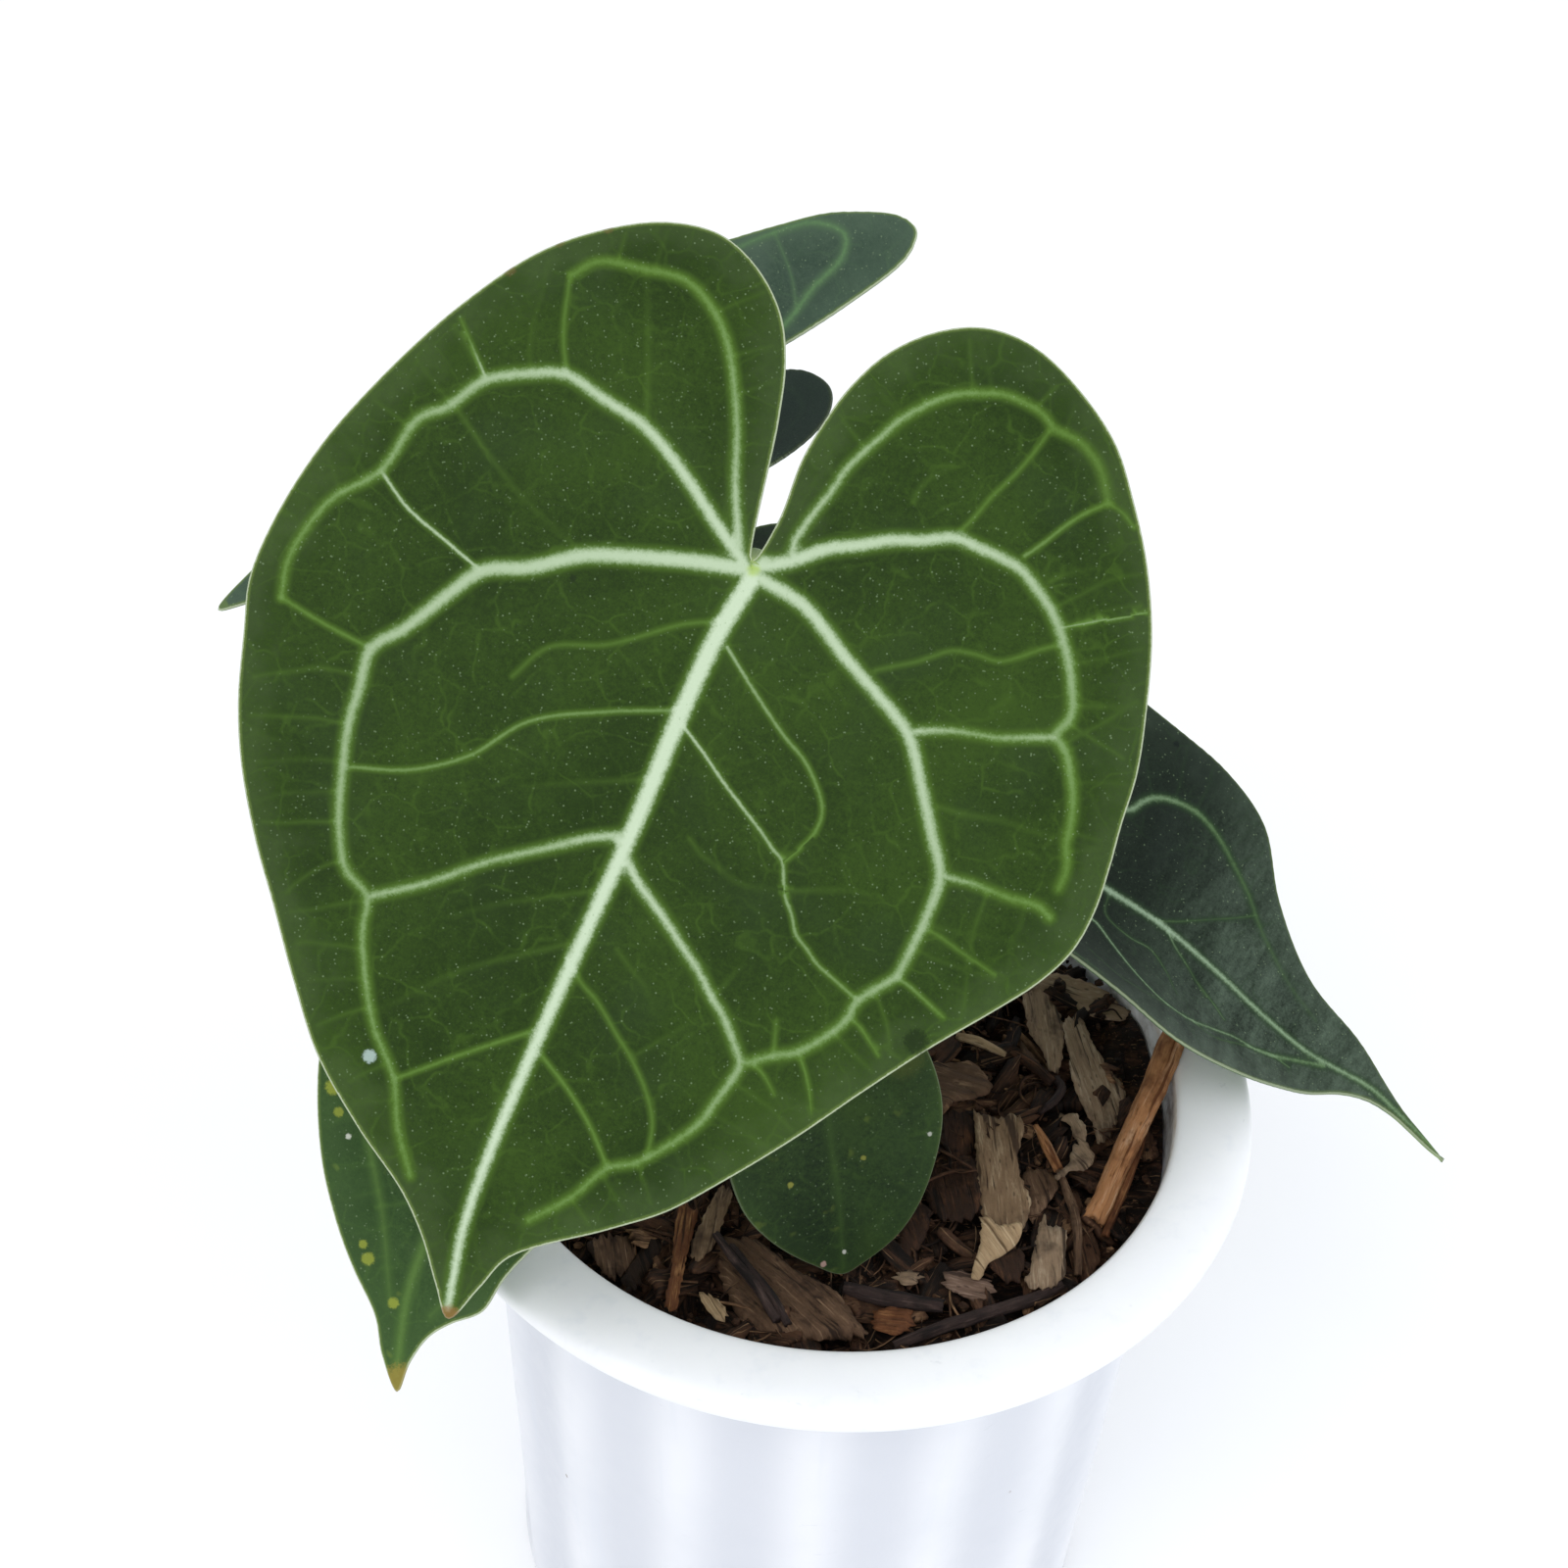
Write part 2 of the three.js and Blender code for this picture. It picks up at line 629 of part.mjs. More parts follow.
// A stalk runs from its seat in the crown to the back of its blade, and thickens just below the blade.
function stalkPoints(leaf) {
  const axes = bladeAxes(leaf);
  const end = bladePoint(leaf, axes, 0, -1, -0.2);
  const under = bladePoint(leaf, axes, 0, 1, -STALK_JOINT_LENGTH);
  return [...leaf.stalk, under, end];
}

function makeStalk(leaf, grow = 0) {
  const points = stalkPoints(leaf);
  const stalk = solidOf(bar(points, STALK_R, STALK_SIDES, STALK_STEPS, grow));
  const joint = solidOf(bar(points.slice(-2), STALK_JOINT_R, STALK_SIDES, 1, grow));
  return stalk.add(joint);
}

// Crown: a short thick stem with dry pointed sheaths, in a plain hole in the mix.
function makeCrown(grow = 0) {
  const stem = new THREE.CylinderGeometry(
    CROWN_R - 1.5 + grow, CROWN_R + grow, CROWN_TOP_Z - CROWN_FOOT_Z + 2 * grow, CROWN_SIDES);
  stem.rotateX(Math.PI / 2);
  stem.translate(0, 0, (CROWN_TOP_Z + CROWN_FOOT_Z) / 2);
  let crown = solidOf(stem);
  for (let i = 0; i < SHEATHS; i += 1) {
    const sheath = new THREE.ConeGeometry(SHEATH_R + grow, SHEATH_HEIGHT + 2 * grow, SHEATH_SIDES);
    sheath.scale(1, 1, 0.5);
    sheath.rotateX(Math.PI / 2);
    sheath.rotateY(SHEATH_LEAN * DEG);
    sheath.translate(CROWN_R - 1.5, 0, CROWN_TOP_Z - 1);
    sheath.rotateZ(((360 * (i + 0.35)) / SHEATHS) * DEG);
    crown = crown.add(solidOf(sheath));
  }
  return crown;
}

// Assembly

const group = new THREE.Group();

function addPart(name, solid, colour, roughness) {
  const material = new THREE.MeshStandardMaterial({ color: colour, roughness, metalness: 0 });
  const mesh = new THREE.Mesh(geometryOf(solid), material);
  mesh.name = name;
  group.add(mesh);
}

addPart("pot", makePot(), 0xf1f3f8, 0.35);

Object.entries(LEAVES).forEach(([name, leaf]) => {
  addPart(`blade_${name}`, makeBlade(leaf), leaf.colour, 0.55);
  const stalk = makeStalk(leaf).subtract(makeBlade(leaf, BLADE_SEAT_GAP));
  addPart(`petiole_${name}`, largestPiece(stalk), 0x6d8a4a, 0.5);
});

let crown = makeCrown();
Object.values(LEAVES).forEach((leaf) => {
  crown = crown.subtract(makeStalk(leaf, SEAT_GAP));
});
addPart("stem_crown", largestPiece(crown), 0x6b4a2c, 0.85);

let mix = makeMixBody();
makeChips().forEach((chip) => {
  mix = mix.add(chip);
});
mix = mix.subtract(makeCrown(SEAT_GAP));
LOOSE_BITS.forEach(({ name, colour, place }) => {
  addPart(name, solidOf(place(0)), colour, 0.9);
  mix = mix.subtract(solidOf(place(SEAT_GAP)));
});
addPart("potting_mix", largestPiece(mix), 0x3d2a20, 0.95);

export default group;
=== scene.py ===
"""Potted Anthurium clarinervium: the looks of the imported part, in the part's own frame.

Shapes are worked out in millimetres and turned to metres when a mesh is made.
"""

import math

import bpy
import numpy as np
from mathutils import Matrix, Vector, noise
from mathutils.geometry import delaunay_2d_cdt


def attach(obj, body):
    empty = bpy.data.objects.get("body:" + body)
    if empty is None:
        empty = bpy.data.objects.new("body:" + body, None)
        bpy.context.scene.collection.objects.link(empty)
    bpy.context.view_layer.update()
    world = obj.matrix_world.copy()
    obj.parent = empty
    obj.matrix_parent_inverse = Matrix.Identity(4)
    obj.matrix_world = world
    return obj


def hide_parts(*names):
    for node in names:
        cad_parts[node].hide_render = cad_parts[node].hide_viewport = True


MM = 0.001
UP = np.array([0.0, 0.0, 1.0])

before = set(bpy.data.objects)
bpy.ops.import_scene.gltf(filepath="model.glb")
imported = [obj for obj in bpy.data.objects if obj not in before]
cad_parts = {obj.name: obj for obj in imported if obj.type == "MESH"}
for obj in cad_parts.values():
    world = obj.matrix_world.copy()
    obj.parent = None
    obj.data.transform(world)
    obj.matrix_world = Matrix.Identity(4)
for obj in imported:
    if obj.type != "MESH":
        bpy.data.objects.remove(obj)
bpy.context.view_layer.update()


# Curves and meshes


def unit(v):
    v = np.asarray(v, float)
    return v / np.linalg.norm(v)


def spline(points, count, closed=False):
    """Centripetal Catmull-Rom curve through the points, at count even steps of its own parameter."""
    p = np.asarray(points, float)
    n = len(p)
    spans = n if closed else n - 1
    t = np.linspace(0, spans, count, endpoint=not closed)
    i = np.minimum(t.astype(int), spans - 1)
    w = (t - i)[:, None]
    if closed:
        a, b, c, d = p[(i - 1) % n], p[i % n], p[(i + 1) % n], p[(i + 2) % n]
    else:
        q = np.vstack([2 * p[0] - p[1], p, 2 * p[-1] - p[-2]])
        a, b, c, d = q[i], q[i + 1], q[i + 2], q[i + 3]
    gap = [np.maximum(np.linalg.norm(v - u, axis=1), 1e-8)[:, None] ** 0.5 for u, v in ((a, b), (b, c), (c, d))]
    t1 = ((b - a) / gap[0] - (c - a) / (gap[0] + gap[1]) + (c - b) / gap[1]) * gap[1]
    t2 = ((c - b) / gap[1] - (d - b) / (gap[1] + gap[2]) + (d - c) / gap[2]) * gap[1]
    return b + t1 * w + (-3 * b + 3 * c - 2 * t1 - t2) * w**2 + (2 * b - 2 * c + t1 + t2) * w**3


def lengths(line):
    """How far along the line each of its points lies."""
    return np.concatenate([[0], np.cumsum(np.linalg.norm(np.diff(line, axis=0), axis=1))])


def even(points, spacing, closed=False):
    """The same line with its points at even distances. Returns points and their fraction of the old index."""
    p = np.asarray(points, float)
    loop = np.vstack([p, p[:1]]) if closed else p
    s = lengths(loop)
    count = max(2, int(round(s[-1] / spacing)) + (0 if closed else 1))
    at = np.linspace(0, s[-1], count, endpoint=not closed)
    out = np.stack([np.interp(at, s, loop[:, k]) for k in range(loop.shape[1])], 1)
    return out, np.interp(at, s, np.linspace(0, 1, len(loop)))


def nearest(points, line, closed=False, reach=math.inf):
    """For each point: distance to the line, and the place of the nearest spot as a float index along it.

    Points further than reach from the line's box get the distance 99.
    """
    dist = np.full(len(points), 99.0)
    place = np.zeros(len(points))
    close = ((points > line.min(0) - reach) & (points < line.max(0) + reach)).all(1)
    picked = np.flatnonzero(close)
    ax, ay = (line if closed else line[:-1]).T
    bx, by = (np.roll(line, -1, axis=0) if closed else line[1:]).T
    dx, dy = bx - ax, by - ay
    length2 = np.maximum(dx * dx + dy * dy, 1e-12)
    for k in range(0, len(picked), 2000):
        rows = picked[k : k + 2000]
        x, y = points[rows, 0][:, None] - ax, points[rows, 1][:, None] - ay
        t = np.clip((x * dx + y * dy) / length2, 0, 1)
        x -= t * dx
        y -= t * dy
        d2 = x * x + y * y
        j = d2.argmin(1)
        every = np.arange(len(j))
        dist[rows] = np.sqrt(d2[every, j])
        place[rows] = j + t[every, j]
    return dist, place


def inside(points, loop):
    """Which points lie inside the closed loop."""
    a = loop
    b = np.roll(loop, -1, axis=0)
    result = np.zeros(len(points), bool)
    for k in range(0, len(points), 4000):
        x = points[k : k + 4000, 0][:, None]
        y = points[k : k + 4000, 1][:, None]
        spans = (a[:, 1] > y) != (b[:, 1] > y)
        slope = (b[:, 0] - a[:, 0]) / np.where(b[:, 1] == a[:, 1], 1e-12, b[:, 1] - a[:, 1])
        cuts = spans & (x < a[:, 0] + (y - a[:, 1]) * slope)
        result[k : k + 4000] = cuts.sum(1) % 2 == 1
    return result


def fill(outline, spacing, lines=(), holes=()):
    """Fine even triangles inside an outline, with edges along the given lines. Counter-clockwise."""
    low, high = outline.min(0), outline.max(0)
    row = spacing * 0.866
    ys = np.arange(low[1], high[1], row)
    grid = []
    for k, y in enumerate(ys):
        xs = np.arange(low[0] + (k % 2) * spacing / 2, high[0], spacing)
        grid.append(np.stack([xs, np.full(len(xs), y)], 1))
    grid = np.vstack(grid)
    grid = grid[inside(grid, outline)]
    keep = nearest(grid, outline, True)[0] > 0.55 * spacing
    for line in lines:
        keep &= nearest(grid, line, False, spacing)[0] > 0.45 * spacing
    for hole in holes:
        keep &= (nearest(grid, hole, True)[0] > 0.5 * spacing) & ~inside(grid, hole)
    grid = grid[keep]
    verts = [*outline.tolist()]
    edges = [(i, (i + 1) % len(outline)) for i in range(len(outline))]
    for hole in holes:
        start = len(verts)
        verts += hole.tolist()
        edges += [(start + i, start + (i + 1) % len(hole)) for i in range(len(hole))]
    for line in lines:
        start = len(verts)
        verts += line.tolist()
        edges += [(start + i, start + i + 1) for i in range(len(line) - 1)]
    verts += grid.tolist()
    out = delaunay_2d_cdt([Vector(v) for v in verts], edges, [], 1, 1e-5, False)
    points = np.array([tuple(v) for v in out[0]])
    tris = np.array([f for f in out[2] if len(f) == 3])
    a, b, c = points[tris[:, 0]], points[tris[:, 1]], points[tris[:, 2]]
    area = (b[:, 0] - a[:, 0]) * (c[:, 1] - a[:, 1]) - (b[:, 1] - a[:, 1]) * (c[:, 0] - a[:, 0])
    tris[area < 0] = tris[area < 0][:, ::-1]
    tris = tris[np.abs(area) > 1e-7]
    middle = (points[tris[:, 0]] + points[tris[:, 1]] + points[tris[:, 2]]) / 3
    within = inside(middle, outline)
    for hole in holes:
        within &= ~inside(middle, hole)
    return points, tris[within]


def border(tris):
    """The outer edges of the triangles, as directed pairs."""
    edges = np.vstack([tris[:, [0, 1]], tris[:, [1, 2]], tris[:, [2, 0]]])
    keys = {tuple(e) for e in edges.tolist()}
    return np.array([e for e in edges.tolist() if (e[1], e[0]) not in keys])


def make_mesh(name, points, faces, material, floats=None, vectors=None, smooth=True):
    """An object from points in mm, faces and named per-point values."""
    mesh = bpy.data.meshes.new(name)
    mesh.from_pydata((np.asarray(points) * MM).tolist(), [], faces)
    for key, values in (floats or {}).items():
        mesh.attributes.new(key, "FLOAT", "POINT").data.foreach_set("value", np.asarray(values, np.float32))
    for key, values in (vectors or {}).items():
        flat = np.asarray(values, np.float32).ravel()
        mesh.attributes.new(key, "FLOAT_VECTOR", "POINT").data.foreach_set("vector", flat)
    mesh.polygons.foreach_set("use_smooth", np.full(len(mesh.polygons), smooth))
    mesh.materials.append(material)
    mesh.validate()
    mesh.update()
    obj = bpy.data.objects.new(name, mesh)
    bpy.context.scene.collection.objects.link(obj)
    return obj


class Skin:
    """Gathers many small closed forms into one mesh, with their own values."""

    def __init__(self):
        self.points, self.faces, self.grain, self.tint = [], [], [], []
        self.count = 0

    def add(self, points, faces, grain, tint):
        self.points.append(points)
        self.faces += [[i + self.count for i in f] for f in faces]
        self.grain.append(grain)
        self.tint.append(np.broadcast_to(tint, len(points)))
        self.count += len(points)

    def make(self, name, material, smooth=True):
        return make_mesh(
            name, np.vstack(self.points), self.faces, material,
            {"tint": np.concatenate(self.tint)}, {"grain": np.vstack(self.grain) * MM}, smooth)


def loft(rings, around, first=0, inward=False):
    """Side faces of closed rings of points that follow each other."""
    faces = []
    for k in range(rings - 1):
        for i in range(around):
            a = first + k * around + i
            b = first + k * around + (i + 1) % around
            faces.append([a, a + around, b + around, b] if inward else [a, b, b + around, a + around])
    return faces


def sheet(rows, cols, flip=False):
    """Faces of two grids of points, rows by cols, back to back and joined round their sides."""
    n = rows * cols
    faces = []
    for a in (i * cols + j for i in range(rows - 1) for j in range(cols - 1)):
        faces.append([a, a + cols, a + cols + 1, a + 1])
        faces.append([n + a, n + a + 1, n + a + cols + 1, n + a + cols])
    ring = [i * cols for i in range(rows)] + [(rows - 1) * cols + j for j in range(1, cols)]
    ring += [i * cols + cols - 1 for i in range(rows - 2, -1, -1)] + list(range(cols - 2, 0, -1))
    faces += [[a, n + a, n + b, b] for a, b in zip(ring, ring[1:] + ring[:1])]
    return [f[:1] + f[:0:-1] for f in faces] if flip else faces


def perlin(x, y, z):
    return noise.noise(Vector((x, y, z)))


def tube(route, radii, sides, flat=1.0):
    """A closed round skin along a route. Returns points, faces and grain (along, round, depth)."""
    route = np.asarray(route, float)
    n = len(route)
    radii = np.broadcast_to(np.asarray(radii, float), n)
    ahead = np.gradient(route, axis=0)
    ahead /= np.linalg.norm(ahead, axis=1)[:, None]
    side = np.cross(ahead[0], UP)
    side = unit(side if np.linalg.norm(side) > 1e-3 else np.cross(ahead[0], [1, 0.2, 0]))
    length = lengths(route)
    points, grain = [], []
    angles = 2 * np.pi * np.arange(sides) / sides
    for k in range(n):
        side = unit(side - ahead[k] * (side @ ahead[k]))
        rise = np.cross(ahead[k], side)
        ring = np.cos(angles)[:, None] * side - np.sin(angles)[:, None] * rise * flat
        points.append(route[k] + radii[k] * ring)
        grain.append(np.stack([np.full(sides, length[k]), radii[k] * np.cos(angles), radii[k] * np.sin(angles)], 1))
    faces = loft(n, sides)
    for k, turn in ((0, -1), (n - 1, 1)):
        points.append(route[k][None, :])
        grain.append(np.array([[length[k], 0, 0]]))
        hub = n * sides + (0 if k == 0 else 1)
        faces += [[k * sides + i, k * sides + (i + 1) % sides, hub][::turn] for i in range(sides)]
    return np.vstack(points), faces, np.vstack(grain)


# Materials


def linear(tone):
    """Linear colour from red, green and blue out of 255."""
    parts = [v / 255 for v in tone]
    return (*(v / 12.92 if v <= 0.04045 else ((v + 0.055) / 1.055) ** 2.4 for v in parts), 1.0)


class Shade:
    """A node tree under one Principled shader. Each method adds a node and returns its output."""

    def __init__(self, name, **sockets):
        self.material = bpy.data.materials.new(name)
        self.material.use_nodes = True
        self.nodes = self.material.node_tree.nodes
        self.links = self.material.node_tree.links
        self.nodes.clear()
        output = self.nodes.new("ShaderNodeOutputMaterial")
        self.shader = self.nodes.new("ShaderNodeBsdfPrincipled")
        self.links.new(self.shader.outputs["BSDF"], output.inputs["Surface"])
        for key, value in sockets.items():
            self.put(self.shader.inputs[key.replace("_", " ")], value)

    def put(self, socket, value):
        if isinstance(value, bpy.types.NodeSocket):
            self.links.new(value, socket)
        else:
            socket.default_value = value

    def node(self, kind, inputs, output=0, **settings):
        node = self.nodes.new("ShaderNode" + kind)
        for key, value in settings.items():
            setattr(node, key, value)
        for key, value in inputs.items():
            self.put(node.inputs[key], value)
        return node.outputs[output]

    def colour(self, value):
        self.put(self.shader.inputs["Base Color"], value)

    def rough(self, value):
        self.put(self.shader.inputs["Roughness"], value)

    def attribute(self, name, output="Fac"):
        return self.node("Attribute", {}, output, attribute_name=name)

    def place(self):
        return self.node("TexCoord", {}, "Object")

    def parts(self, vector):
        return list(self.node("SeparateXYZ", {0: vector}).node.outputs)

    def vector(self, op, a, b, output="Vector"):
        return self.node("VectorMath", {0: a, 1: b}, output, operation=op)

    def noise(self, vector, scale, detail=2.0, rough=0.5, warp=0.0, output="Fac", stretch=None):
        if stretch:
            vector = self.vector("MULTIPLY", vector, stretch)
        inputs = {"Vector": vector, "Scale": scale, "Detail": detail, "Roughness": rough, "Distortion": warp}
        return self.node("TexNoise", inputs, output)

    def cells(self, vector, scale, feature="F1"):
        return self.node("TexVoronoi", {"Vector": vector, "Scale": scale}, "Distance", feature=feature)

    def math(self, op, a, b=0.0, clamp=False):
        return self.node("Math", {0: a, 1: b}, operation=op, use_clamp=clamp)

    def plus(self, a, b, clamp=False):
        return self.math("ADD", a, b, clamp)

    def swing(self, value):
        """The value taken about its middle, 0.5."""
        return self.math("SUBTRACT", value, 0.5)

    def times(self, *values):
        result = values[0]
        for value in values[1:]:
            result = self.math("MULTIPLY", result, value)
        return result

    def step(self, value, start, end, low=0.0, high=1.0):
        """Goes smoothly from low to high as value goes from start to end."""
        if start > end:
            start, end, low, high = end, start, high, low
        inputs = {"Value": value, "From Min": start, "From Max": end, "To Min": low, "To Max": high}
        return self.node("MapRange", inputs, interpolation_type="SMOOTHSTEP")

    def blend(self, amount, a, b):
        """Mixes two colours, each a socket or a tone out of 255."""
        a, b = (linear(v) if isinstance(v, tuple) else v for v in (a, b))
        return self.node("Mix", {0: amount, 6: a, 7: b}, 2, data_type="RGBA")

    def bump(self, height, distance, strength=1.0):
        """Adds relief. distance is the height in metres that a value of 1 stands for."""
        inputs = {"Strength": strength, "Distance": distance, "Height": height}
        target = self.shader.inputs["Normal"]
        if target.is_linked:
            inputs["Normal"] = target.links[0].from_socket
        self.put(target, self.node("Bump", inputs))


# Leaves. A blade's own frame starts at its stalk: x runs across, -y to the tip, and the third axis out of its
# upper face. A vein is (points, widths along it in mm, paleness along it from 0, lime, to 1.4, silver).

BLADE_HALF = 0.34

MAIN_MAJOR = [
    ([[0.6, -1.4], [-1.1, -11.3], [-1.8, -25.4], [-1.9, -40], [-2.1, -46.9], [-2.8, -61.8], [-3.5, -79.7],
      [-3.9, -96.4], [-3.4, -110.8], [-1, -123.7]], [2.9, 2.7, 2.2, 1.8, 1.2], [1.4, 1.4, 1.3, 1.1]),
    ([[-1.4, 0.2], [-7.9, 4.4], [-15.5, 9.7], [-23.4, 14], [-30.8, 15.6], [-37.9, 17], [-43.2, 15], [-49.1,
      11.4], [-52.8, 5.5], [-56.3, 2.1], [-58.7, -7.5], [-64.4, -14.7], [-66.9, -25], [-65.6, -31.3]], [1.9,
      1.7, 1.5, 0.9, 0.5], [1, 0.9, 0.6, 0.4]),
    ([[-3, 2.1], [-7, 10.3], [-10.8, 20.3], [-16.9, 31.3], [-21.5, 35.8], [-26.7, 38.1], [-33, 37.3], [-40.4,
      35.7], [-43.1, 32.3]], [1.3, 1, 0.9, 0.8, 0.7], [0.9, 0.6, 0.4, 0.3]),
    ([[-1.1, -0.5], [-10, -2.8], [-17.1, -5.1], [-24.7, -8], [-31.7, -12.8], [-38.2, -16], [-42.2, -22.1],
      [-45.9, -28.5], [-49.6, -33.4], [-49.1, -39.6], [-48.5, -45.7], [-46.6, -53], [-44.2, -60.2], [-40.6,
      -66.3], [-36, -69], [-34.7, -74.1], [-30.7, -82.3], [-27.4, -87.5], [-21.9, -93.5], [-18.5, -100.3],
      [-13.9, -106.6]], [2.4, 2.1, 1.4, 0.8, 0.5], [1, 0.8, 0.6, 0.4]),
    ([[1.5, -1], [9.4, -2.4], [18.5, -7.5], [26, -11.4], [31.8, -14.9], [36.5, -21.3], [40.8, -27.6], [44.4,
      -33.2], [44.8, -40.5], [44.5, -45.5], [43.9, -49.9], [41.8, -52.8], [39.9, -55.6], [39.2, -59.3], [36.9,
      -63.2], [34.1, -66.4], [31.1, -68.2], [27, -71.3]], [2.1, 1.8, 1.7, 1.1, 0.9], [1, 0.9, 0.7, 0.5]),
    ([[-3.3, -46.5], [1.2, -50.9], [7.1, -54.7], [12.6, -58.5], [15.8, -60.7], [18.9, -63.5], [21.2, -65.1],
      [25.4, -69.5], [26.8, -71.4], [26.1, -75.8], [25.5, -78.1], [24.4, -82.2], [22, -86.1], [17.7, -91.4],
      [13.8, -94], [10.4, -100.2], [5.5, -106.1]], [1.5, 1.1, 1.1, 0.7, 0.5], [1, 0.8, 0.5, 0.4]),
    ([[-3, -45.5], [-7.9, -48], [-12.8, -51.5], [-20.8, -57.1], [-28, -63.4], [-35.6, -68.8]], [1.3, 1.1, 0.9,
      0.9, 1], [0.9, 0.7, 0.7, 0.7]),
    ([[31.5, -14.6], [34.5, -13.1], [38.2, -11.7], [42, -10.8], [44.9, -10.1], [48.5, -8.6], [52.9, -6.7]], [1,
      0.6, 1.1], [0.9, 0.6, 0.7]),
    ([[44.7, -33.1], [48.6, -32.4], [51.8, -32.3], [55.9, -32.2], [60.4, -31.8], [62.4, -32.7]], [0.8, 0.6,
      0.8], [0.8, 0.4, 0.4]),
    ([[0.9, 0.7], [4.1, 2.6], [5.7, 3.8], [9.7, 7.2], [14, 9.5], [18.2, 12], [22.7, 13.8], [27.1, 16], [31,
      16], [35.1, 15.8], [38.3, 15.3], [41.9, 13.3], [45.1, 11.1], [48, 8.1], [50.4, 4.9], [52.1, 1.9], [53.5,
      -1.2], [53.9, -3.4], [52.9, -6.4], [55.3, -8.4], [56.9, -10.8], [58.6, -13.9], [59.9, -17.5], [60.6,
      -21.3], [62, -24.5], [62.1, -28.1]], [2.2, 1.8, 1.5, 1.2, 0.5], [1, 0.9, 0.6, 0.3]),
    ([[1, 2], [4.5, 2.9], [4.5, 6.7], [5.5, 11.3], [6.8, 15.6], [7.6, 19.5], [9.2, 23.4], [10.8, 26.7], [12.1,
      29.5], [14, 32.3], [16.5, 35.2], [19.2, 37.4], [22.4, 38.9], [25.6, 40.1], [28.6, 40.3], [30.8, 40.1],
      [33.2, 39.4], [34.9, 38.2], [37.4, 37.9], [39.9, 37.5], [42, 36.4], [43.9, 34.9], [45.5, 32.8], [47.1,
      30.3]], [1.2, 0.9, 0.9, 0.6, 0.8], [0.9, 0.7, 0.4, 0.2]),
]
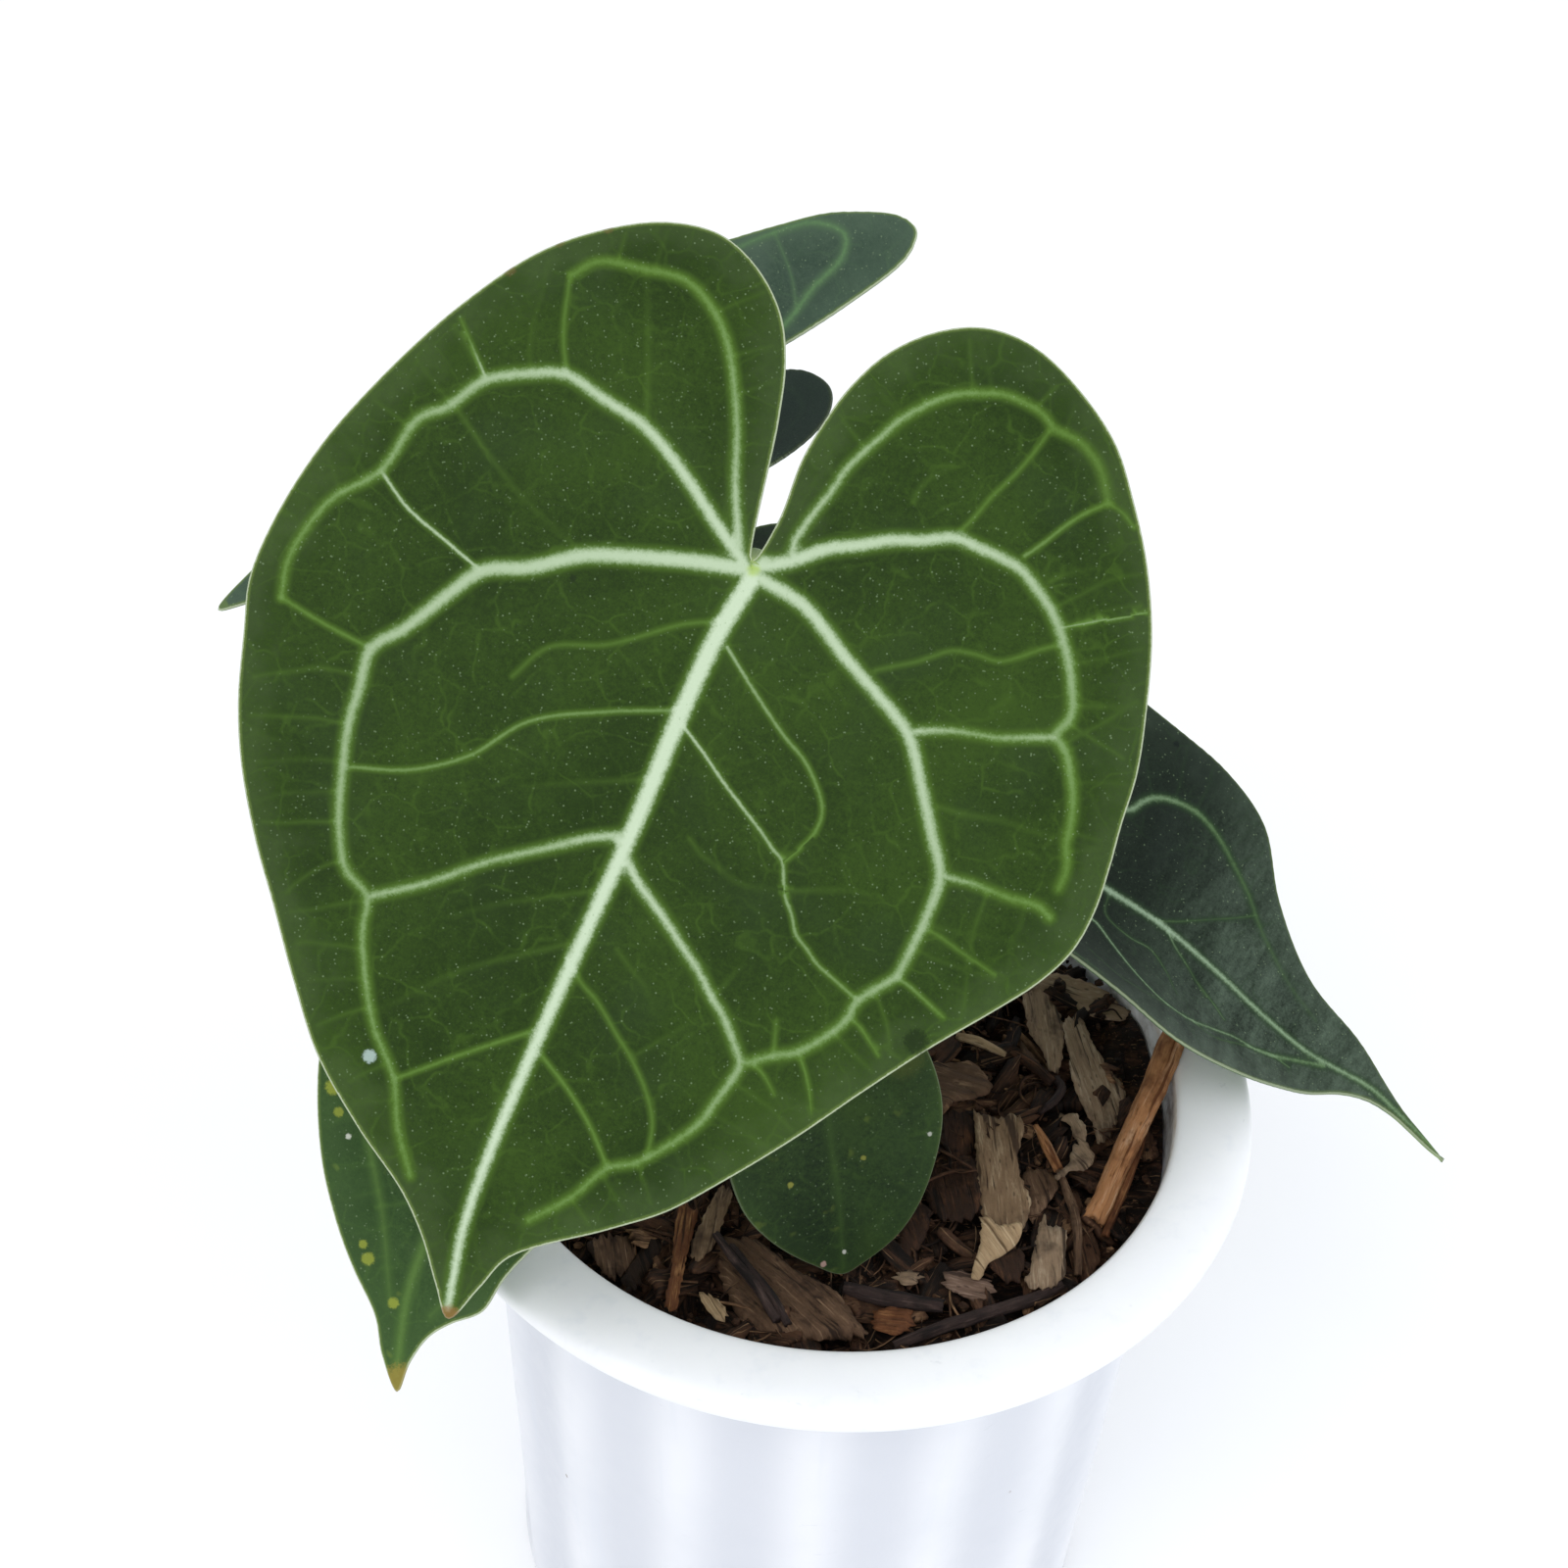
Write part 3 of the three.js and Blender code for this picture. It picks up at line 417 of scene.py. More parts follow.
MAIN_MINOR = [
    ([[-38, 17.4], [-40.8, 23], [-43.5, 32.1]], [0.9], [0.34]),
    ([[-23.9, 15.7], [-27.8, 25.7], [-33.1, 37.8]], [0.9], [0.2, 0.1]),
    ([[-49.3, 12], [-56.4, 19.1]], [0.9, 0.4], [0.68, 0.34]),
    ([[-51.8, 6], [-43.1, 0.3], [-34, -4.5], [-24.8, -7.7]], [0.9], [0.2, 0.1]),
    ([[-58.5, -7.6], [-52.6, -11.3], [-45.9, -13.6], [-38.7, -16]], [0.9], [0.68]),
    ([[-65.6, -31.3], [-58.6, -32.5], [-50.4, -33.4]], [0.9], [0.42]),
    ([[-2.7, -24.7], [-12.4, -28.9], [-23, -34.8], [-29.4, -43], [-37, -48.4], [-45.8, -51.5]], [0.9], [0.5]),
    ([[-1.5, -9.4], [-6.4, -11.9], [-16.2, -19.3], [-24.4, -23.1], [-27.9, -29.3]], [0.9], [0.34, 0.26]),
    ([[-4.7, -64.2], [-18.5, -74.3], [-28.1, -84.8]], [0.9], [0.2, 0.1]),
    ([[-4.6, -78.6], [-12.6, -85.3], [-21.5, -93.3]], [0.9], [0.42]),
    ([[0.9, -12.7], [7.8, -17.8], [14.1, -22.1], [18.9, -24.8], [23.8, -30.3], [24.1, -34.3], [21.4, -40.2]],
      [0.9], [0.6, 0.42]),
    ([[-0.9, -26.4], [3.4, -29], [8.5, -32.4], [16.6, -37.2], [19.1, -38.9], [21.1, -40], [22.2, -42.2], [23.5,
      -44.8], [25.6, -47.2], [27.3, -49.7], [29.6, -51.1], [32, -52.7], [35, -53.8], [39.3, -55.3]], [0.9],
      [0.68, 0.5]),
    ([[-4, -66.1], [-0.5, -69], [2.5, -70.5], [7.8, -74.5], [10.9, -76.8], [15.3, -81.1], [17.7, -84.9], [18.9,
      -90]], [0.9], [0.34]),
    ([[2.6, -62.1], [5.8, -64.1], [9, -66], [11.7, -68.9]], [0.4, 0.9], [0.2, 0.1]),
    ([[10.9, -76.8], [13, -74], [15.1, -71.1], [18.9, -66.7]], [0.4, 0.3], [0.2, 0.1]),
    ([[6.5, -42.1], [9.3, -43.8], [12.4, -44.6], [15.1, -45.5], [18.7, -45.4], [22.8, -44]], [0.7, 0.9],
      [0.2, 0.1]),
    ([[23.2, -44.2], [28.2, -42], [33.4, -40.1], [38, -39.5]], [0.9], [0.2, 0.1]),
    ([[21.3, -39.9], [22.8, -37.5], [24.1, -35]], [0.9, 0.8], [0.2, 0.1]),
    ([[44.3, -50.1], [46, -50.4], [49.1, -51.5], [53, -53]], [0.9], [0.5, 0.42]),
    ([[40.1, -58.6], [41.8, -59.2], [43.8, -60.6], [46, -62.2]], [0.9, 0.4], [0.42]),
    ([[34.4, -66.3], [35.8, -67.9], [37.9, -70.7], [39.4, -73.7]], [0.9, 0.4], [0.42]),
    ([[29, -70.7], [30.9, -71.6], [33.4, -73.7]], [0.9, 0.4], [0.42, 0.34]),
    ([[31, -68.3], [30.4, -66.1], [29.4, -63]], [0.9], [0.34, 0.26]),
    ([[19.1, -63.1], [20.3, -60.2], [21.4, -57]], [0.9, 0.5], [0.2, 0.1]),
    ([[45.2, -41.5], [47.8, -41.7], [51.7, -42.7], [58, -44]], [0.9, 0.6], [0.34]),
    ([[-2.4, -36], [-8, -38.6], [-14, -41.4], [-20.6, -44.6]], [0.9, 0.7], [0.2, 0.1]),
    ([[-3.8, -55], [-10, -58.6], [-17, -62.6], [-23, -67]], [0.9, 0.6], [0.2, 0.1]),
    ([[-2.3, -81.5], [4, -85.2], [8.9, -88.9], [13.7, -93.7]], [0.9], [0.42]),
    ([[47.7, 9.4], [58.9, 16.5]], [0.9], [0.6, 0.5]),
    ([[27.6, 17.4], [28.8, 20.3], [30.1, 24.3], [32.1, 28.8], [33.5, 33], [34.6, 37.4]], [0.9], [0.34]),
    ([[38.1, 17.4], [39.9, 20.1], [42.2, 24.1], [44.2, 27], [47, 30]], [0.9], [0.5, 0.42]),
    ([[23.4, -7.6], [25.9, -5.9], [28.8, -4], [30.8, -2.3], [33.2, -0.4], [36.5, 0.4], [40.5, 0.8], [43.4,
      2.8], [46.1, 5.2], [48.1, 6.6]], [0.9], [0.26, 0.34]),
    ([[48.1, 9.3], [51.9, 11.5], [54.7, 14.1], [58.7, 16]], [0.9, 0.8], [0.2, 0.1]),
    ([[54.3, -1], [59.3, 1], [63.9, 2.9]], [0.8, 0.9], [0.2, 0.1]),
    ([[40.2, -23.4], [45.2, -22.8], [50.2, -21.7], [55.2, -21.4], [60.5, -20.9]], [0.9], [0.2, 0.1]),
    ([[19.2, 18.8], [19.4, 21.7], [21.4, 24.9], [23.7, 27.4]], [0.8], [0.2, 0.1]),
    ([[46.9, 30.2], [49.8, 29.5], [52.2, 28.1]], [0.6, 0.9], [0.34]),
    ([[43.2, 15.2], [45.4, 17.5], [48.8, 19.7]], [0.5, 0.4], [0.2, 0.1]),
]

LEAVES = {
    "main": dict(
        at=[-18.9, -1.1, 243.2], heading=-115.5, drop=42.6, bank=-18, spacing=0.95, feather=1.0,
        shape=dict(fold=0.08, droop=9, lobe=7, curl=6, length=124, back=50, half=70, wave=0.9, waves=13),
        outline=[
            [-0.5, 1.1], [-4.8, 22.8], [-7.3, 31.9], [-11, 39], [-16.8, 44.3], [-24.1, 47.1], [-32, 46.1],
            [-39.7, 42.4], [-49, 34.3], [-57.6, 20.4], [-65.5, 2.6], [-69.3, -8.2], [-71.5, -19.9],
            [-71.5, -30.1], [-69.1, -38], [-65.7, -49.1], [-61.8, -57.7], [-55.8, -66.9], [-48.8, -75.8],
            [-41.9, -85.1], [-34.2, -94.7], [-24.4, -102.6], [-14.4, -109.3], [-9, -114.6], [-4.2, -120.9],
            [-0.4, -125.3], [2.4, -118.9], [4.9, -112.7], [17.4, -102.9], [24.8, -96.9], [31.3, -89],
            [38.7, -79], [45.8, -68.4], [53, -58.2], [59.4, -50], [64.6, -42.7], [67.7, -36.1], [68.7, -29],
            [68.3, -22], [67.4, -15.1], [66.7, -7.3], [64.7, 1.7], [61.2, 13.3], [56.6, 23], [50.6, 32.1],
            [44.7, 39.7], [37, 45.5], [29.4, 49], [23.1, 49.7], [17.1, 48.4], [11, 44.6], [6.4, 39.2],
            [3.4, 32.4], [1.9, 26.5], [0.7, 18.6], [0.9, 8.6],
        ],
        major=MAIN_MAJOR, minor=MAIN_MINOR, stalk=[[-1.2, -1.5, 126], [-7, -1, 165], [-16, 4, 212]],
    ),
    "right": dict(
        at=[9.5, 36.8, 170.2], heading=-22.4, drop=24.3, bank=-11, spacing=0.9, feather=0.8,
        shape=dict(fold=0.4, droop=8, lobe=0, curl=0, length=120, back=50, half=40, wave=0.7, waves=9),
        outline=[
            [0, 2], [-5, 16], [-7.5, 30], [-11, 40], [-17, 44], [-25, 41], [-31, 32], [-35, 18], [-37, 2],
            [-36, -16], [-33.5, -32], [-30.5, -50], [-28.5, -63], [-17.5, -78], [-5, -90], [3.8, -98.2],
            [7.6, -104.2], [8.7, -109], [8.6, -114], [8.5, -119], [9, -122.4], [9.7, -119], [10.5, -114.5],
            [11.3, -110.2], [12.6, -105.6], [16.1, -96.7], [19.7, -83.5], [28, -71],
            [37.4, -61.6], [41.5, -50.2], [43, -39.9], [43.5, -28], [43, -10], [41, 8], [37.5, 24],
            [33, 37], [26, 46], [18.5, 49], [11, 45], [7.5, 33], [5, 17],
        ],
        major=[
            ([[0, -2], [4, -25], [6.1, -42.5], [7.4, -53.7], [7.3, -66.4], [6.5, -78], [6.4, -89.3], [7.6, -95.1],
              [9.8, -103.5], [9.7, -112], [9.2, -121]],
             [1.9, 1.4, 1.0, 0.8, 0.7, 0.6], [0.9, 0.9, 0.9, 0.8, 0.7, 0.5]),
            ([[1.5, -1.5], [12, -11], [18, -24], [20.6, -34], [22.3, -38.3], [25.5, -39.6], [28.1, -41.7],
              [29.8, -45.2], [30.5, -50], [29.4, -54.8], [26.9, -60.2], [23.7, -66.1], [20.4, -70.6],
              [17.9, -75.3], [15.4, -80.5], [13.2, -88]], [1.5, 1.2, 1.1, 0.9, 0.6, 0.5, 0.4],
             [0.85, 0.85, 0.85, 0.6, 0.35, 0.2, 0.1]),
            ([[-1.5, -1.5], [-8, -11], [-9, -26], [-5.5, -38], [-3.2, -43], [-6.7, -47], [-10.7, -50.8], [-13.5, -54.4],
              [-15.2, -59], [-13.9, -64.5], [-8.3, -70.6], [-3.7, -75.6], [-1.7, -80.7], [1.3, -85.2], [4, -89.4],
              [6.2, -93.2]], [1.4, 0.9, 0.7, 0.5, 0.4, 0.4], [0.8, 0.7, 0.75, 0.7, 0.65, 0.5]),
            ([[-1, 1], [-14, 7], [-25, 4], [-31, -10], [-32, -28], [-29, -46]], [1.3, 0.8, 0.3], [0.6, 0.5, 0.2]),
            ([[1.5, 3], [9, 16], [12, 30], [19, 38], [27, 36], [34, 22], [37, 6]], [1, 0.5, 0.3], [0.5, 0.4, 0.2]),
            ([[-1.5, 3], [-9, 14], [-13, 28], [-20, 34], [-27, 26], [-31, 10]], [1, 0.5, 0.3], [0.5, 0.4, 0.2]),
        ],
        minor=[
            ([[7.4, -53], [10.7, -57.1], [14.5, -61.2], [18.1, -65], [22, -68.6]], [0.7, 0.5, 0.6], [0.45, 0.35, 0.4]),
            ([[4.6, -30], [14, -33], [21, -36]], [0.5, 0.4], [0.3, 0.25]),
            ([[7.2, -56], [5.7, -58.3], [4.2, -61.7], [2.5, -64.8], [0.6, -67.5]], [0.9, 0.6, 0.3], [0.55, 0.45, 0.2]),
            ([[2.5, -64.8], [0.8, -69.6], [-0.8, -72.6]], [0.7, 0.6], [0.4, 0.5]),
            ([[6.1, -43], [1.2, -44.4], [0.2, -49.9], [1.3, -54.7], [-1.1, -59.1], [-6.4, -62.3]],
             [0.5, 0.6, 0.4], [0.3, 0.5, 0.3]),
            ([[-21.2, -42.8], [-22.3, -49.7], [-17.4, -57.5], [-15.4, -61]], [0.5, 0.4], [0.3, 0.35]),
            ([[-12.9, -64], [-11.9, -70.7], [-4.9, -76.8], [-0.1, -82.5], [0.7, -87.6]], [0.5, 0.6], [0.35, 0.5]),
            ([[30.5, -50], [36, -50], [40, -48]], [0.4, 0.2], [0.15, 0.06]),
            ([[23.7, -66.1], [27, -66.6], [30, -66]], [0.4, 0.2], [0.15, 0.06]),
        ],
        stalk=[[5.4, 2, 126], [10, 11, 140], [13, 26, 157]],
    ),
    "back": dict(
        at=[-25.9, 75.6, 225.3], heading=-157.6, drop=19.9, bank=-12, spacing=0.9, feather=0.6,
        shape=dict(fold=0.3, droop=6, lobe=0, curl=0, length=105, back=50, half=40, wave=0.6, waves=9),
        outline=[
            [0, 3], [-0.7, 11], [-3.3, 24.9], [-6.5, 38.6], [-9.5, 41.6], [-14.2, 40.2], [-19, 31.6],
            [-21.4, 21.4], [-24.3, 7.9], [-26, -8], [-25.5, -26], [-23, -44], [-19, -60], [-13, -78],
            [-9.8, -90.5], [-6.3, -99.2], [-3.1, -90.5], [6, -84], [14, -70], [20, -54], [24, -38],
            [26, -20], [26.8, -0.8], [21.5, 10], [14.9, 14], [7.7, 12.1], [3, 8],
        ],
        major=[
            ([[0, -2], [-1, -30], [-2.4, -60], [-3.6, -92], [-4, -102]], [1.2, 0.8, 0.5], [0.5, 0.4, 0.3]),
            ([[-1, 1], [-4.2, 12.5], [-8.5, 20.4], [-11.5, 27.8], [-14.9, 29.9], [-18.7, 26.5], [-20.6, 18.7],
              [-22, 2]], [0.7, 0.5, 0.4, 0.3], [0.36, 0.34, 0.3, 0.15]),
            ([[-1.5, -2], [-12, -9], [-18, -24], [-17, -44], [-12, -64], [-7, -84]],
             [0.9, 0.6, 0.3], [0.45, 0.35, 0.15]),
            ([[1.5, -2], [12, -8], [18, -24], [15, -48], [7, -72], [0, -90]], [0.9, 0.6, 0.3], [0.45, 0.35, 0.15]),
            # This vein is given little paleness as painted shade: it lies in the main blade's shadow.
            ([[1.5, 0], [8, 7], [16, 8], [21, 0], [22, -16]], [1, 0.6, 0.3], [0.2, 0.06, 0.04]),
        ],
        minor=[
            ([[-1, -20], [-9, -26], [-18, -30]], [0.5, 0.4], [0.4, 0.3]),
            ([[-1, -22], [8, -28], [17, -32]], [0.5, 0.4], [0.4, 0.3]),
            ([[-1.8, -46], [-9, -52], [-15, -56]], [0.5, 0.3], [0.4, 0.3]),
            ([[-1.8, -48], [6, -52], [13, -56]], [0.5, 0.3], [0.4, 0.3]),
            ([[-6, 16], [-12, 18], [-20.5, 19]], [0.4, 0.3], [0.3, 0.3]),
        ],
        stalk=[[-0.4, 5.6, 126], [-9, 20, 149], [-17, 42, 180], [-23.8, 62.5, 207]],
    ),
    "low_left": dict(
        at=[-48.3, -7.6, 173.2], heading=-108.9, drop=37.1, bank=0, spacing=0.8, feather=0.6,
        shape=dict(fold=0.25, droop=5, lobe=0, curl=0, length=83, back=30, half=30, wave=0.7, waves=8),
        outline=[
            [0, 1.5], [-2, 10], [-5, 18], [-10, 22], [-17, 22], [-24, 16], [-28.5, 4], [-30.5, -10],
            [-30.5, -24], [-28.9, -37.1], [-24, -51.4], [-18.8, -59.9], [-13.5, -66.6], [-7.9, -72.8],
            [-4.9, -78.5], [-0.6, -83.4], [0, -78.3], [1.8, -73.3], [4.8, -70.1], [9.8, -66.4], [12, -60],
            [19, -47], [25, -34], [28.5, -20], [28.5, -5], [26, 9], [20, 18.5], [13, 21.5], [6.5, 19],
            [2.5, 11],
        ],
        major=[
            ([[0, -2], [-2, -30], [-3.4, -55.8], [-3.7, -67.7], [-1.6, -81]], [1.6, 1, 0.7], [0.35, 0.3, 0.25]),
            ([[-1.5, -1], [-14, -6], [-22, -22], [-19, -42], [-11, -58], [-6, -70]],
             [1, 0.7, 0.3], [0.3, 0.25, 0.15]),
            ([[1.5, -1], [13, -6], [20, -22], [16, -42], [8, -56], [1, -70]], [1, 0.7, 0.3], [0.3, 0.25, 0.15]),
            ([[-1, 2], [-7, 12], [-15, 15], [-22, 6], [-25, -8]], [0.9, 0.5, 0.3], [0.3, 0.2, 0.15]),
            ([[1.5, 3], [8, 11], [16, 13], [22, 4], [24, -8]], [0.9, 0.5, 0.3], [0.3, 0.2, 0.15]),
        ],
        minor=[
            ([[-2, -28], [-10, -34], [-20, -38]], [0.4, 0.3], [0.25, 0.2]),
            ([[-1.6, -24], [8, -28], [19, -30]], [0.4, 0.3], [0.25, 0.2]),
            ([[-3.2, -50], [-9, -54], [-13, -56]], [0.4, 0.3], [0.25, 0.2]),
            ([[-3.2, -48], [4, -50], [11, -51]], [0.4, 0.3], [0.25, 0.2]),
        ],
        stalk=[[-6.6, 0.8, 126], [-18, 2, 138], [-36, 2, 158]],
    ),
    "small": dict(
        at=[-1.9, -25.1, 161.2], heading=-70, drop=62.6, bank=0, spacing=0.6, feather=0.0,
        shape=dict(fold=0.2, droop=2, lobe=0, curl=0, length=40, back=16, half=20, wave=0.4, waves=7),
        outline=[
            [0, 1.5], [-1.8, 7], [-6, 10.5], [-12, 9], [-17.5, 3], [-20, -6], [-20, -15.5], [-17.7, -24.3],
            [-12.9, -31.3], [-6.1, -37.4], [-0.9, -40.6], [2.7, -39.3], [8.8, -35.1], [13.3, -29],
            [17, -19.5], [18, -11], [16.5, -2], [12.5, 6], [6.5, 9.8], [2, 6.5],
        ],
        major=[
            ([[0, -2], [-1.2, -12.1], [-0.6, -25.7], [-0.8, -39.4]], [0.9, 0.6, 0.4], [0.12, 0.12, 0.1]),
        ],
        minor=[
            ([[-1, -3], [-10, -6], [-14, -16], [-10, -28], [-4, -36]], [0.4, 0.3], [0.1, 0.06]),
            ([[1, -3], [9, -7], [12, -17], [8, -29], [2, -36]], [0.4, 0.3], [0.1, 0.06]),
        ],
        stalk=[[1, -6.6, 126], [1, -12, 136], [0, -19, 152]],
    ),
}


def blade_axes(leaf):
    """The blade's across, back and outward directions in the row frame."""
    heading, drop, bank = (math.radians(leaf[k]) for k in ("heading", "drop", "bank"))
    tip = np.array([math.cos(drop) * math.cos(heading), math.cos(drop) * math.sin(heading), -math.sin(drop)])
    across = unit(np.cross(UP, tip))
    across = across * math.cos(bank) + np.cross(tip, across) * math.sin(bank)
    return across, -tip, np.cross(across, -tip)


def blade_lift(shape, x, y):
    """How far the curved blade stands out of its own plane."""
    fold = shape["fold"] * (np.sqrt(x * x + 16) - 4)
    droop = shape["droop"] * (np.maximum(-y, 0) / shape["length"]) ** 2
    lobe = shape["lobe"] * (np.maximum(y, 0) / shape["back"]) ** 2
    return fold - droop - lobe - shape["curl"] * (x / shape["half"]) ** 2


def on_blade(leaf, xy, out):
    """Points of the row frame from blade coordinates."""
    x_axis, y_axis, normal = blade_axes(leaf)
    return np.asarray(leaf["at"]) + xy[:, :1] * x_axis + xy[:, 1:2] * y_axis + np.asarray(out)[:, None] * normal


def vein_field(points, veins, scale=1.0):
    """Of the vein whose side is nearest to each point: distance outside that side, paleness, distance to the
    vein's middle line, and width."""
    side = np.full(len(points), 99.0)
    pale = np.zeros(len(points))
    width = np.ones(len(points))
    middle = np.full(len(points), 99.0)
    for line, widths, paleness in veins:
        d, place = nearest(points, line, False, 14)
        share = place / (len(line) - 1)
        w = scale * np.interp(share, np.linspace(0, 1, len(widths)), widths)
        p = np.interp(share, np.linspace(0, 1, len(paleness)), paleness)
        closer = d - w / 2 < side
        side[closer] = (d - w / 2)[closer]
        pale[closer] = p[closer]
        width[closer] = w[closer]
        middle[closer] = d[closer]
    return side, pale, middle, width


def feather(leaf, edge, draws):
    """Faint veins from the outer main veins to the margin."""
    out = []
    tip = np.array([0, -leaf["shape"]["length"]])
    lines = [even(spline(vein[0], 200), 1.5)[0] for vein in leaf["major"]]
    others = [[other for j, other in enumerate(lines) if j != i] for i in range(len(lines))]
    for number, line in enumerate(lines[1:], 1):
        step = 4
        for k in range(step + int(draws.integers(0, step)), len(line) - 2, step):
            k = min(len(line) - 3, k + int(draws.integers(-1, 2)))
            ahead = unit(line[k + 1] - line[k - 1])
            sides = [np.array([-ahead[1], ahead[0]]), np.array([ahead[1], -ahead[0]])]
            reach = [nearest((line[k] + 3 * s)[None], edge, True)[0][0] for s in sides]
            way = sides[int(np.argmin(reach))]
            if min(reach) > 22 or not inside((line[k] + 3 * way)[None], edge)[0]:
                continue
            lean = draws.normal(0.25, 0.25)
            crossed, arrived = False, False
            route = [line[k]]
            for _ in range(16):
                way = unit(way + 0.06 * lean * unit(tip - route[-1]) + draws.normal(0, 0.07, 2))
                following = route[-1] + way * 1.7
                if not inside(following[None], edge)[0] or nearest(following[None], edge, True)[0][0] < 0.8:
                    arrived = True
                    break
                crossed |= any(nearest(following[None], other, False, 3)[0][0] < 2 for other in others[number])
                route.append(following)
            if len(route) > 3 and arrived and not crossed:
                strength = draws.uniform(0.06, 0.2) * leaf["feather"]
                out.append((np.array(route), [0.3, 0.15], [strength + 0.06, strength]))
    return out


def margin_wave(leaf, points, margin, edge, share):
    """The waved margin, which fades to the inside and to the tip."""
    s = leaf["shape"]
    tail = np.clip((points[:, 1] - edge[:, 1].min()) / 24 - 0.3, 0, 1)
    swing = np.sin(2 * np.pi * s["waves"] * share[::3])
    spots = edge[::3]
    out = np.empty(len(points))
    for k in range(0, len(points), 2000):
        x = points[k : k + 2000, 0][:, None] - spots[:, 0]
        y = points[k : k + 2000, 1][:, None] - spots[:, 1]
        weight = (x * x + y * y + 0.5) ** -2
        out[k : k + 2000] = (weight @ swing) / weight.sum(1)
    return s["wave"] * tail * np.exp(-margin / 14) * out


def make_blade(name, leaf, material):
    draws = np.random.default_rng(11)
    spacing = leaf["spacing"]
    curve = spline(leaf["outline"], len(leaf["outline"]) * 12, True)
    edge, share = even(curve, spacing * 0.8, True)
    ahead = np.roll(edge, -1, axis=0) - np.roll(edge, 1, axis=0)
    inward = np.stack([-ahead[:, 1], ahead[:, 0]], 1)
    inward /= np.linalg.norm(inward, axis=1)[:, None]
    if not inside((edge[20] + 0.5 * inward[20])[None], edge)[0]:
        inward = -inward
    inset = edge + inward * BLADE_HALF
    major = [(even(spline(p, 30 * len(p)), spacing * 0.8)[0], w, q) for p, w, q in leaf["major"]]
    minor = [(even(spline(p, 30 * len(p)), spacing * 0.8)[0], w, q) for p, w, q in leaf["minor"]]
    if leaf["feather"]:
        minor += feather(leaf, inset, draws)
    xy, tris = fill(inset, spacing, [v[0] for v in major + minor])
    m_side, m_pale, m_middle, m_width = vein_field(xy, major)
    n_side, n_pale, n_middle, n_width = vein_field(xy, minor, 0.6)
    margin, _ = nearest(xy, edge, True)
    wave = margin_wave(leaf, xy, margin, edge, share)
    lift = blade_lift(leaf["shape"], xy[:, 0], xy[:, 1]) + wave
    # The blade swells a little between the veins.
    swell = 0.4 * (1 - np.exp(-((np.maximum(m_side, 0) / 4) ** 2))) * (1 - 0.6 * np.exp(-((n_middle / 2) ** 2)))
    swell *= np.clip(margin / 8, 0, 1)
    ridge = 0.22 * np.clip(m_width / 2.5, 0.3, 1) * np.exp(-((m_middle / (0.55 * m_width + 0.2)) ** 2))
    rib = np.clip(m_width / 2.6, 0.2, 1) * 1.5 * np.exp(-((m_middle / (0.6 * m_width + 0.25)) ** 2))
    rib += 0.25 * np.exp(-((n_middle / 0.6) ** 2)) * np.clip(n_pale * 1.6, 0, 1)
    fade = np.clip(margin / 2.5, 0, 1)
    top = on_blade(leaf, xy, lift + BLADE_HALF + (ridge + swell) * fade)
    low = on_blade(leaf, xy, lift - BLADE_HALF + (swell * 0.8 - rib) * fade)
    rim_edges = border(tris)
    rim = np.unique(rim_edges)
    count = len(xy)
    order = {int(v): i for i, v in enumerate(rim)}
    _, index = nearest(xy[rim], edge, True)
    whole = index.astype(int) % len(edge)
    part = (index - index.astype(int))[:, None]
    nxt = (whole + 1) % len(edge)
    away = -(inward[whole] * (1 - part) + inward[nxt] * part)
    away /= np.linalg.norm(away, axis=1)[:, None]
    rings = []
    for angle in (50, 0, -50):
        c, s = math.cos(math.radians(angle)), math.sin(math.radians(angle))
        rings.append(on_blade(leaf, xy[rim] + away * (BLADE_HALF * c), lift[rim] + BLADE_HALF * s))
    points = np.vstack([top, low, *rings])
    faces = tris.tolist() + (tris[:, ::-1] + count).tolist()
    first = 2 * count
    m = len(rim)
    for a, b in rim_edges.tolist():
        i, j = order[a], order[b]
        chain_a = [a, first + i, first + m + i, first + 2 * m + i, count + a]
        chain_b = [b, first + j, first + m + j, first + 2 * m + j, count + b]
        for k in range(4):
            faces.append([chain_a[k], chain_a[k + 1], chain_b[k + 1], chain_b[k]])
    every = np.concatenate([np.arange(count), np.arange(count), rim, rim, rim])
    face_side = np.concatenate([np.ones(count), np.zeros(count), np.ones(m), np.full(m, 0.5), np.zeros(m)])
    rim_margin = np.concatenate([margin, margin, np.full(3 * m, 0.0)])
    hub = np.linalg.norm(xy - np.array([0.3, -0.2]), axis=1)
    floats = {
        "major": m_side[every], "major_pale": m_pale[every], "minor": n_side[every], "minor_pale": n_pale[every],
        "margin": rim_margin, "upper": face_side, "hub": hub[every],
    }
    local = np.column_stack([xy[every], np.zeros(len(every))]) * MM
    obj = make_mesh("blade_" + name + "_fine", points, faces, material, floats, {"local": local})
    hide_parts("blade_" + name)
    return obj


